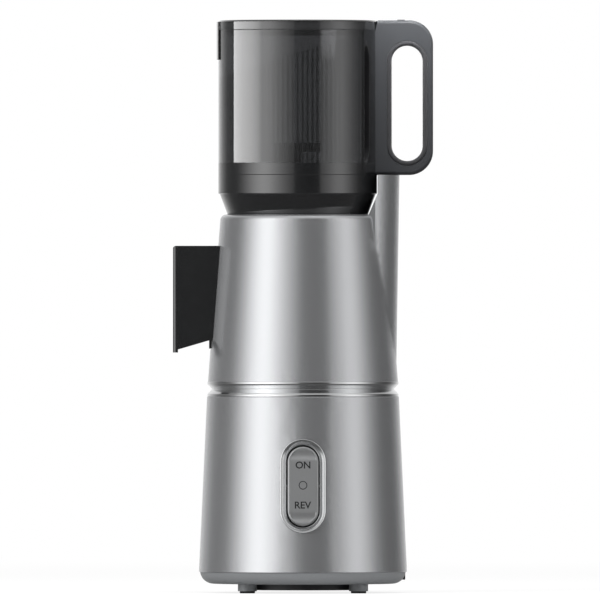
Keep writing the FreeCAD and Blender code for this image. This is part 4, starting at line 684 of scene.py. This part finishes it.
class JUICER_OT_hopper(bpy.types.Operator):
    """Builds the smoked hopper, its solid foot, its ribs and its seal"""
    bl_idname = "juicer.hopper"
    bl_label = "Hopper"
    bl_options = {"REGISTER", "UNDO"}

    def execute(self, context):
        low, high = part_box("hopper")
        top = high.z / MM
        bottom = low.z / MM
        foot = HOPPER_FOOT
        floor = foot + FLOOR_THICK
        groove_low, groove_high = (foot - drop for drop in SEAL_GROOVE)
        wall = turned("hopper_wall", [
            (HOPPER_BORE_R, floor + WALL_CLEAR, 0), (HOPPER_R, floor + WALL_CLEAR, 0), (HOPPER_R, top, 0.5),
            (HOPPER_BORE_R, top, 0.5)], BOWL_Y)
        settle(wall, "hopper")
        linked("under_hopper_panel").objects.link(wall)
        band = turned("hopper_foot", [
            (SPIGOT_BORE_R, bottom, 0.5), (SPIGOT_R, bottom, 0.5), (SPIGOT_R, groove_low, 0.2),
            (SEAL_GROOVE_R, groove_low, 0), (SEAL_GROOVE_R, groove_high, 0), (SPIGOT_R, groove_high, 0.2),
            (SPIGOT_R, foot, 0), (HOPPER_R, foot, 0.5), (HOPPER_R, floor, 0), (SPIGOT_BORE_R, floor, 1.5)], BOWL_Y)
        settle(band, "hopper", slot="gloss_black")
        ribs = grown("hopper_ribs", rib_tree(), {
            "Count": sizes().hopper_ribs, "Width": sizes().rib_width, "Depth": sizes().rib_depth,
            "Finish": finish("smoked_clear")})
        settle(ribs, "hopper", slot="smoked_clear", replace=False)
        settle(dressed("hopper_seal", "hopper_ring_seal", 0.2 * MM), "hopper_seal")
        return {"FINISHED"}


class JUICER_OT_handle(bpy.types.Operator):
    """Builds the loop handle, its lining, its screws and the lid's button"""
    bl_idname = "juicer.handle"
    bl_label = "Handle"
    bl_options = {"REGISTER", "UNDO"}

    def execute(self, context):
        edge = sizes().plastic_edge
        loop = settle(dressed("handle", "loop_handle", edge), "handle")
        lining = settle(dressed("handle_grip", "grip_lining", 1.6 * MM, segments=4), "handle_grip")
        for piece in (loop, lining):
            linked("under_handle_lamp").objects.link(piece)
        settle(dressed("lid_button", "latch_button", 0.3 * MM), "lid_button")
        settle(dressed("handle_screws", "grip_screws", 0.2 * MM), "handle_screws")
        settle(dressed("hinge_pin", "hinge_rod", 0.2 * MM), "hinge_pin")
        return {"FINISHED"}


class JUICER_OT_lid(bpy.types.Operator):
    """Builds the hinged lid with its front tab"""
    bl_idname = "juicer.lid"
    bl_label = "Lid"
    bl_options = {"REGISTER", "UNDO"}

    def execute(self, context):
        lid = settle(dressed("lid", "smoked_lid_plate", 0.5 * MM, segments=3), "lid")
        linked("under_hopper_panel").objects.link(lid)
        return {"FINISHED"}


class JUICER_OT_outlets(bpy.types.Operator):
    """Builds the juice hood at the front and the pulp chute at the side"""
    bl_idname = "juicer.outlets"
    bl_label = "Outlets"
    bl_options = {"REGISTER", "UNDO"}

    def execute(self, context):
        settle(dressed("spout_hood", "juice_hood", 0.3 * MM), "spout_hood")
        settle(dressed("pulp_chute", "pulp_spout", 0.3 * MM), "pulp_chute")
        return {"FINISHED"}


# Each spring's node, name, turns, the joint that shuts it and how far, in millimetres
SPRINGS = (("button_spring", "button_coil", 4.0, "lid_button_press", 2.5),
           ("plunger_spring", "plunger_coil", 5.0, "interlock_press", 3.0))


class JUICER_OT_springs(bpy.types.Operator):
    """Builds the two coil springs"""
    bl_idname = "juicer.springs"
    bl_label = "Springs"
    bl_options = {"REGISTER", "UNDO"}

    def execute(self, context):
        tree = spring_tree()
        for node, name, turns, joint, travel in SPRINGS:
            low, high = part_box(node)
            middle = (low + high) / 2
            long = high.z - low.z
            piece = grown(name, tree, {
                "Radius": (high.x - low.x) / 2, "Wire": sizes().spring_wire, "Length": long, "Turns": turns,
                "Place": (middle.x, middle.y, low.z), "Finish": finish("screw_steel")})
            settle(piece, node)
            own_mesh(piece)
        return {"FINISHED"}


class JUICER_OT_inside(bpy.types.Operator):
    """Rounds the pieces that show when the bowl is lifted, and paints all the others"""
    bl_idname = "juicer.inside"
    bl_label = "Inside"
    bl_options = {"REGISTER", "UNDO"}

    def execute(self, context):
        for node, name, edge in (("chamber_well", "bowl_well", 0.4), ("deck", "bowl_deck", 0.4),
                                 ("shaft_seal", "deck_lip_seal", 0.2), ("drive_shaft", "hex_drive_shaft", 0.3),
                                 ("deck_screws", "deck_fixings", 0.2), ("interlock_plunger", "interlock_pin", 0.3),
                                 ("cord_gland", "cable_gland", 0.3)):
            settle(dressed(node, name, edge * MM), node)
        for node, solid in NODES.items():
            solid.data.materials.clear()
            solid.data.materials.append(finish(SLOTS[node]))
        return {"FINISHED"}


# Stage

# Lengths here are in metres, and powers in watts.

CAMERA_FAR = 20.0
CAMERA_Y = -0.0025
CAMERA_Z = 0.2458
FRAME_WIDTH = 0.504
SENSOR = 36.0

STUDIO = [  # azimuth from the camera's side in degrees, brightness of what the surfaces mirror there
    (-180, 0.95), (-162, 0.8), (-142, 0.45), (-125, 0.16), (-110, 0.12), (-99, 0.16), (-90, 0.36), (-80, 0.75),
    (-70, 1.25), (-60, 1.7), (-51, 1.9), (-42, 1.7), (-32, 1.2), (-22, 0.76), (-12, 0.44), (-5.5, 0.28), (-4.5, 0.1),
    (12, 0.05), (24, 0.05), (32, 0.08), (33.5, 0.34), (47, 0.66), (58, 1.0), (68, 1.0), (78, 0.68), (89, 0.32),
    (101, 0.1), (118, 0.05), (132, 0.1), (148, 0.4), (164, 0.8), (180, 0.95)]
STUDIO_PEAK = 1.9
OVERHEAD = (0.35, 0.9, 0.35)  # height where the ring starts to fade, where it has faded, and the grey there
UNDERFOOT = (-0.12, -0.55, 0.03)

FLOOR_R = 3.0
FLOOR_FADE = (0.5, 2.6)
FLOOR_WHITE = 0.8
FLOOR_CLEAR = 0.96

LAMPS = (("key_panel", (1.3, -1.5, 1.5), 0.9, 26.0),
         ("fill_panel", (1.4, 1.5, 0.9), 0.9, 10.0),
         ("top_panel", (0.2, 0.1, 1.9), 1.0, 18.0))
LAMP_AIM = (0, 0, 0.25)

PANEL_AZIMUTH = -79.0
PANEL_FAR = 2.0
PANEL_Z = 0.41
PANEL_WIDTH = 2.0
PANEL_HEIGHT = 0.5
PANEL_POWER = 13.0

HANDLE_LAMP_PLACE = (0.08, 0.095, 0.58)
HANDLE_LAMP_AIM = (0.014, 0.09, 0.4)
HANDLE_LAMP_SIZE = 0.05
HANDLE_LAMP_POWER = 1.5


def linked(name):
    """A collection of the pieces that one lamp alone lights."""
    return bpy.data.collections.get(name) or bpy.data.collections.new(name)


class JUICER_OT_stage(bpy.types.Operator):
    """Builds the floor, the studio surround, the lamps and the camera"""
    bl_idname = "juicer.stage"
    bl_label = "Stage"
    bl_options = {"REGISTER", "UNDO"}

    def execute(self, context):
        self.surround()
        self.floor()
        self.lamps()
        self.hopper_panel()
        self.handle_lamp()
        self.camera()
        return {"FINISHED"}

    def surround(self):
        """White behind the juicer and grey flags and bright panels at its sides, in one ring round it."""
        world = bpy.data.worlds.new("studio")
        bpy.context.scene.world = world
        world.use_nodes = True
        tree = world.node_tree
        tree.nodes.clear()
        way = add(tree, "ShaderNodeSeparateXYZ", {"Vector": add(tree, "ShaderNodeTexCoord").outputs["Generated"]})
        azimuth = add(tree, "ShaderNodeMath", {0: way.outputs["Y"], 1: way.outputs["X"]}, operation="ARCTAN2")
        share = add(tree, "ShaderNodeMapRange", {"Value": azimuth.outputs[0], "From Min": -math.pi,
                                                "From Max": math.pi})
        ramp = add(tree, "ShaderNodeValToRGB", {"Fac": share.outputs["Result"]})
        stops = ramp.color_ramp.elements
        for i, (degrees, level) in enumerate(STUDIO):
            if 0 < i < len(STUDIO) - 1:
                stop = stops.new((degrees + 180) / 360)
            else:
                stop = stops[0 if i == 0 else len(stops) - 1]  # the ramp starts with a stop at each end
            stop.color = (level / STUDIO_PEAK,) * 3 + (1.0,)
        colour = ramp.outputs["Color"]
        for start, end, level in (OVERHEAD, UNDERFOOT):
            faded = add(tree, "ShaderNodeMapRange", {"Value": way.outputs["Z"], "From Min": start, "From Max": end},
                        interpolation_type="SMOOTHSTEP")
            mixed = add(tree, "ShaderNodeMix", {"Factor": faded.outputs["Result"], MIX_A: colour,
                                               MIX_B: (level,) * 3 + (1.0,)}, data_type="RGBA")
            colour = mixed.outputs[MIX_RESULT]
        studio = add(tree, "ShaderNodeBackground", {"Color": colour, "Strength": STUDIO_PEAK})
        white = add(tree, "ShaderNodeBackground", {"Color": (1.0, 1.0, 1.0, 1.0), "Strength": 1.0})
        path = add(tree, "ShaderNodeLightPath")
        seen = add(tree, "ShaderNodeMath", {0: path.outputs["Is Camera Ray"],
                                           1: path.outputs["Is Transmission Ray"]}, operation="MAXIMUM")
        both = add(tree, "ShaderNodeMixShader", {0: seen.outputs[0], 1: studio.outputs[0], 2: white.outputs[0]})
        add(tree, "ShaderNodeOutputWorld", {"Surface": both.outputs[0]})

    def floor(self):
        """A round pale table top that fades into the white at its rim."""
        bm = bmesh.new()
        bmesh.ops.create_circle(bm, cap_ends=True, radius=FLOOR_R, segments=96)
        mesh = bpy.data.meshes.new("table_top")
        bm.to_mesh(mesh)
        bm.free()
        table = bpy.data.objects.new("table_top", mesh)
        bpy.context.scene.collection.objects.link(table)
        material, tree = fresh_material("pale_table")
        coordinate = add(tree, "ShaderNodeTexCoord")
        far = add(tree, "ShaderNodeVectorMath", {0: coordinate.outputs["Object"]}, operation="LENGTH")
        fade = add(tree, "ShaderNodeMapRange", {"Value": far.outputs["Value"], "From Min": FLOOR_FADE[0],
                                               "From Max": FLOOR_FADE[1], "To Min": FLOOR_WHITE, "To Max": 1.0},
                   interpolation_type="SMOOTHSTEP")
        path = add(tree, "ShaderNodeLightPath")
        looks = add(tree, "ShaderNodeMath", {0: path.outputs["Is Camera Ray"], 1: path.outputs["Is Glossy Ray"]},
                    operation="MAXIMUM")
        looks = add(tree, "ShaderNodeMath", {0: looks.outputs[0], 1: path.outputs["Is Transmission Ray"]},
                    operation="MAXIMUM")
        share = add(tree, "ShaderNodeMath", {0: fade.outputs["Result"], 1: looks.outputs[0]}, operation="MULTIPLY")
        pale = add(tree, "ShaderNodeBsdfDiffuse", {"Color": linear("#F2F2F2") + (1.0,)})
        white = add(tree, "ShaderNodeEmission", {"Color": (1.0, 1.0, 1.0, 1.0), "Strength": 1.0})
        both = add(tree, "ShaderNodeMixShader", {0: share.outputs[0], 1: pale.outputs[0], 2: white.outputs[0]})
        open_air = add(tree, "ShaderNodeBsdfTransparent")
        thin = add(tree, "ShaderNodeMath", {0: path.outputs["Is Glossy Ray"], 1: FLOOR_CLEAR}, operation="MULTIPLY")
        faint = add(tree, "ShaderNodeMixShader", {0: thin.outputs[0], 1: both.outputs[0], 2: open_air.outputs[0]})
        add(tree, "ShaderNodeOutputMaterial", {"Surface": faint.outputs[0]})
        mesh.materials.append(material)

    def lamp(self, name, place, aim, power):
        """An area lamp at a place, turned to what it lights."""
        light = bpy.data.lights.new(name, "AREA")
        light.energy = power
        lamp = bpy.data.objects.new(name, light)
        bpy.context.scene.collection.objects.link(lamp)
        lamp.location = place
        lamp.rotation_euler = (Vector(aim) - Vector(place)).to_track_quat("-Z", "Y").to_euler()
        return lamp

    def lamps(self):
        """Soft lamps for the whole juicer, which no surface mirrors."""
        for name, place, size, power in LAMPS:
            lamp = self.lamp(name, place, LAMP_AIM, power)
            lamp.data.size = size
            lamp.visible_glossy = False

    def hopper_panel(self):
        """A bright upright panel that only the hopper and its ring mirror, with a sharp far edge."""
        way = math.radians(PANEL_AZIMUTH)
        middle = Vector((0, 0, PANEL_Z))
        spot = Vector((math.cos(way), math.sin(way), 0)) * PANEL_FAR + middle
        lamp = self.lamp("hopper_panel", spot, middle, PANEL_POWER)
        lamp.data.shape = "RECTANGLE"
        lamp.data.size = PANEL_WIDTH
        lamp.data.size_y = PANEL_HEIGHT
        lamp.data.use_nodes = True
        tree = lamp.data.node_tree
        tree.nodes.clear()
        place = add(tree, "ShaderNodeNewGeometry")
        across = add(tree, "ShaderNodeSeparateXYZ", {"Vector": place.outputs["Parametric"]})
        square = add(tree, "ShaderNodeMath", {0: across.outputs["X"], 1: 2.0}, operation="POWER")
        fade = add(tree, "ShaderNodeMapRange", {"Value": square.outputs[0], "To Min": 1.0, "To Max": 0.0})
        glow = add(tree, "ShaderNodeEmission", {"Strength": fade.outputs["Result"]})
        add(tree, "ShaderNodeOutputLight", {"Surface": glow.outputs[0]})
        lamp.visible_camera = False
        lamp.visible_transmission = False
        lamp.light_linking.receiver_collection = linked("under_hopper_panel")

    def handle_lamp(self):
        """A small lamp close over the handle, so that its flat side fades downwards."""
        lamp = self.lamp("handle_lamp", HANDLE_LAMP_PLACE, HANDLE_LAMP_AIM, HANDLE_LAMP_POWER)
        lamp.data.size = HANDLE_LAMP_SIZE
        lamp.visible_camera = False
        lamp.visible_glossy = False
        lamp.light_linking.receiver_collection = linked("under_handle_lamp")

    def camera(self):
        lens = bpy.data.cameras.new("camera")
        lens.sensor_width = SENSOR
        lens.lens = SENSOR * CAMERA_FAR / FRAME_WIDTH
        eye = bpy.data.objects.new("camera", lens)
        bpy.context.scene.collection.objects.link(eye)
        eye.location = (CAMERA_FAR, CAMERA_Y, CAMERA_Z)
        eye.rotation_euler = (math.radians(90), 0, math.radians(90))
        bpy.context.scene.camera = eye
        bpy.context.scene.view_settings.view_transform = "Standard"


class JUICER_PT_panel(bpy.types.Panel):
    """Lists the juicer's pieces"""
    bl_idname = "JUICER_PT_panel"
    bl_label = "Juicer"
    bl_space_type = "VIEW_3D"
    bl_region_type = "UI"
    bl_category = "Juicer"

    def draw(self, context):
        for operator in PIECES:
            self.layout.operator(operator.bl_idname)
        for group in (context.scene.juicer_sizes, context.scene.juicer_colours):
            for name in group.bl_rna.properties.keys():
                if name not in ("rna_type", "name"):
                    self.layout.prop(group, name)


PIECES = (JUICER_OT_stage, JUICER_OT_base, JUICER_OT_body, JUICER_OT_switch, JUICER_OT_bowl, JUICER_OT_hopper,
          JUICER_OT_handle, JUICER_OT_lid, JUICER_OT_outlets, JUICER_OT_springs, JUICER_OT_inside)
CLASSES = (JuicerSizes, JuicerColours) + PIECES + (JUICER_PT_panel,)


def register():
    for item in CLASSES:
        bpy.utils.register_class(item)
    bpy.types.Scene.juicer_sizes = bpy.props.PointerProperty(type=JuicerSizes)
    bpy.types.Scene.juicer_colours = bpy.props.PointerProperty(type=JuicerColours)


def unregister():
    del bpy.types.Scene.juicer_colours
    del bpy.types.Scene.juicer_sizes
    for item in reversed(CLASSES):
        bpy.utils.unregister_class(item)


def main():
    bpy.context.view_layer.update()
    register()
    bpy.ops.juicer.stage()
    bpy.ops.juicer.base()
    bpy.ops.juicer.body()
    bpy.ops.juicer.switch()
    bpy.ops.juicer.bowl()
    bpy.ops.juicer.hopper()
    bpy.ops.juicer.handle()
    bpy.ops.juicer.lid()
    bpy.ops.juicer.outlets()
    bpy.ops.juicer.springs()
    bpy.ops.juicer.inside()


if __name__ == "__main__":
    main()
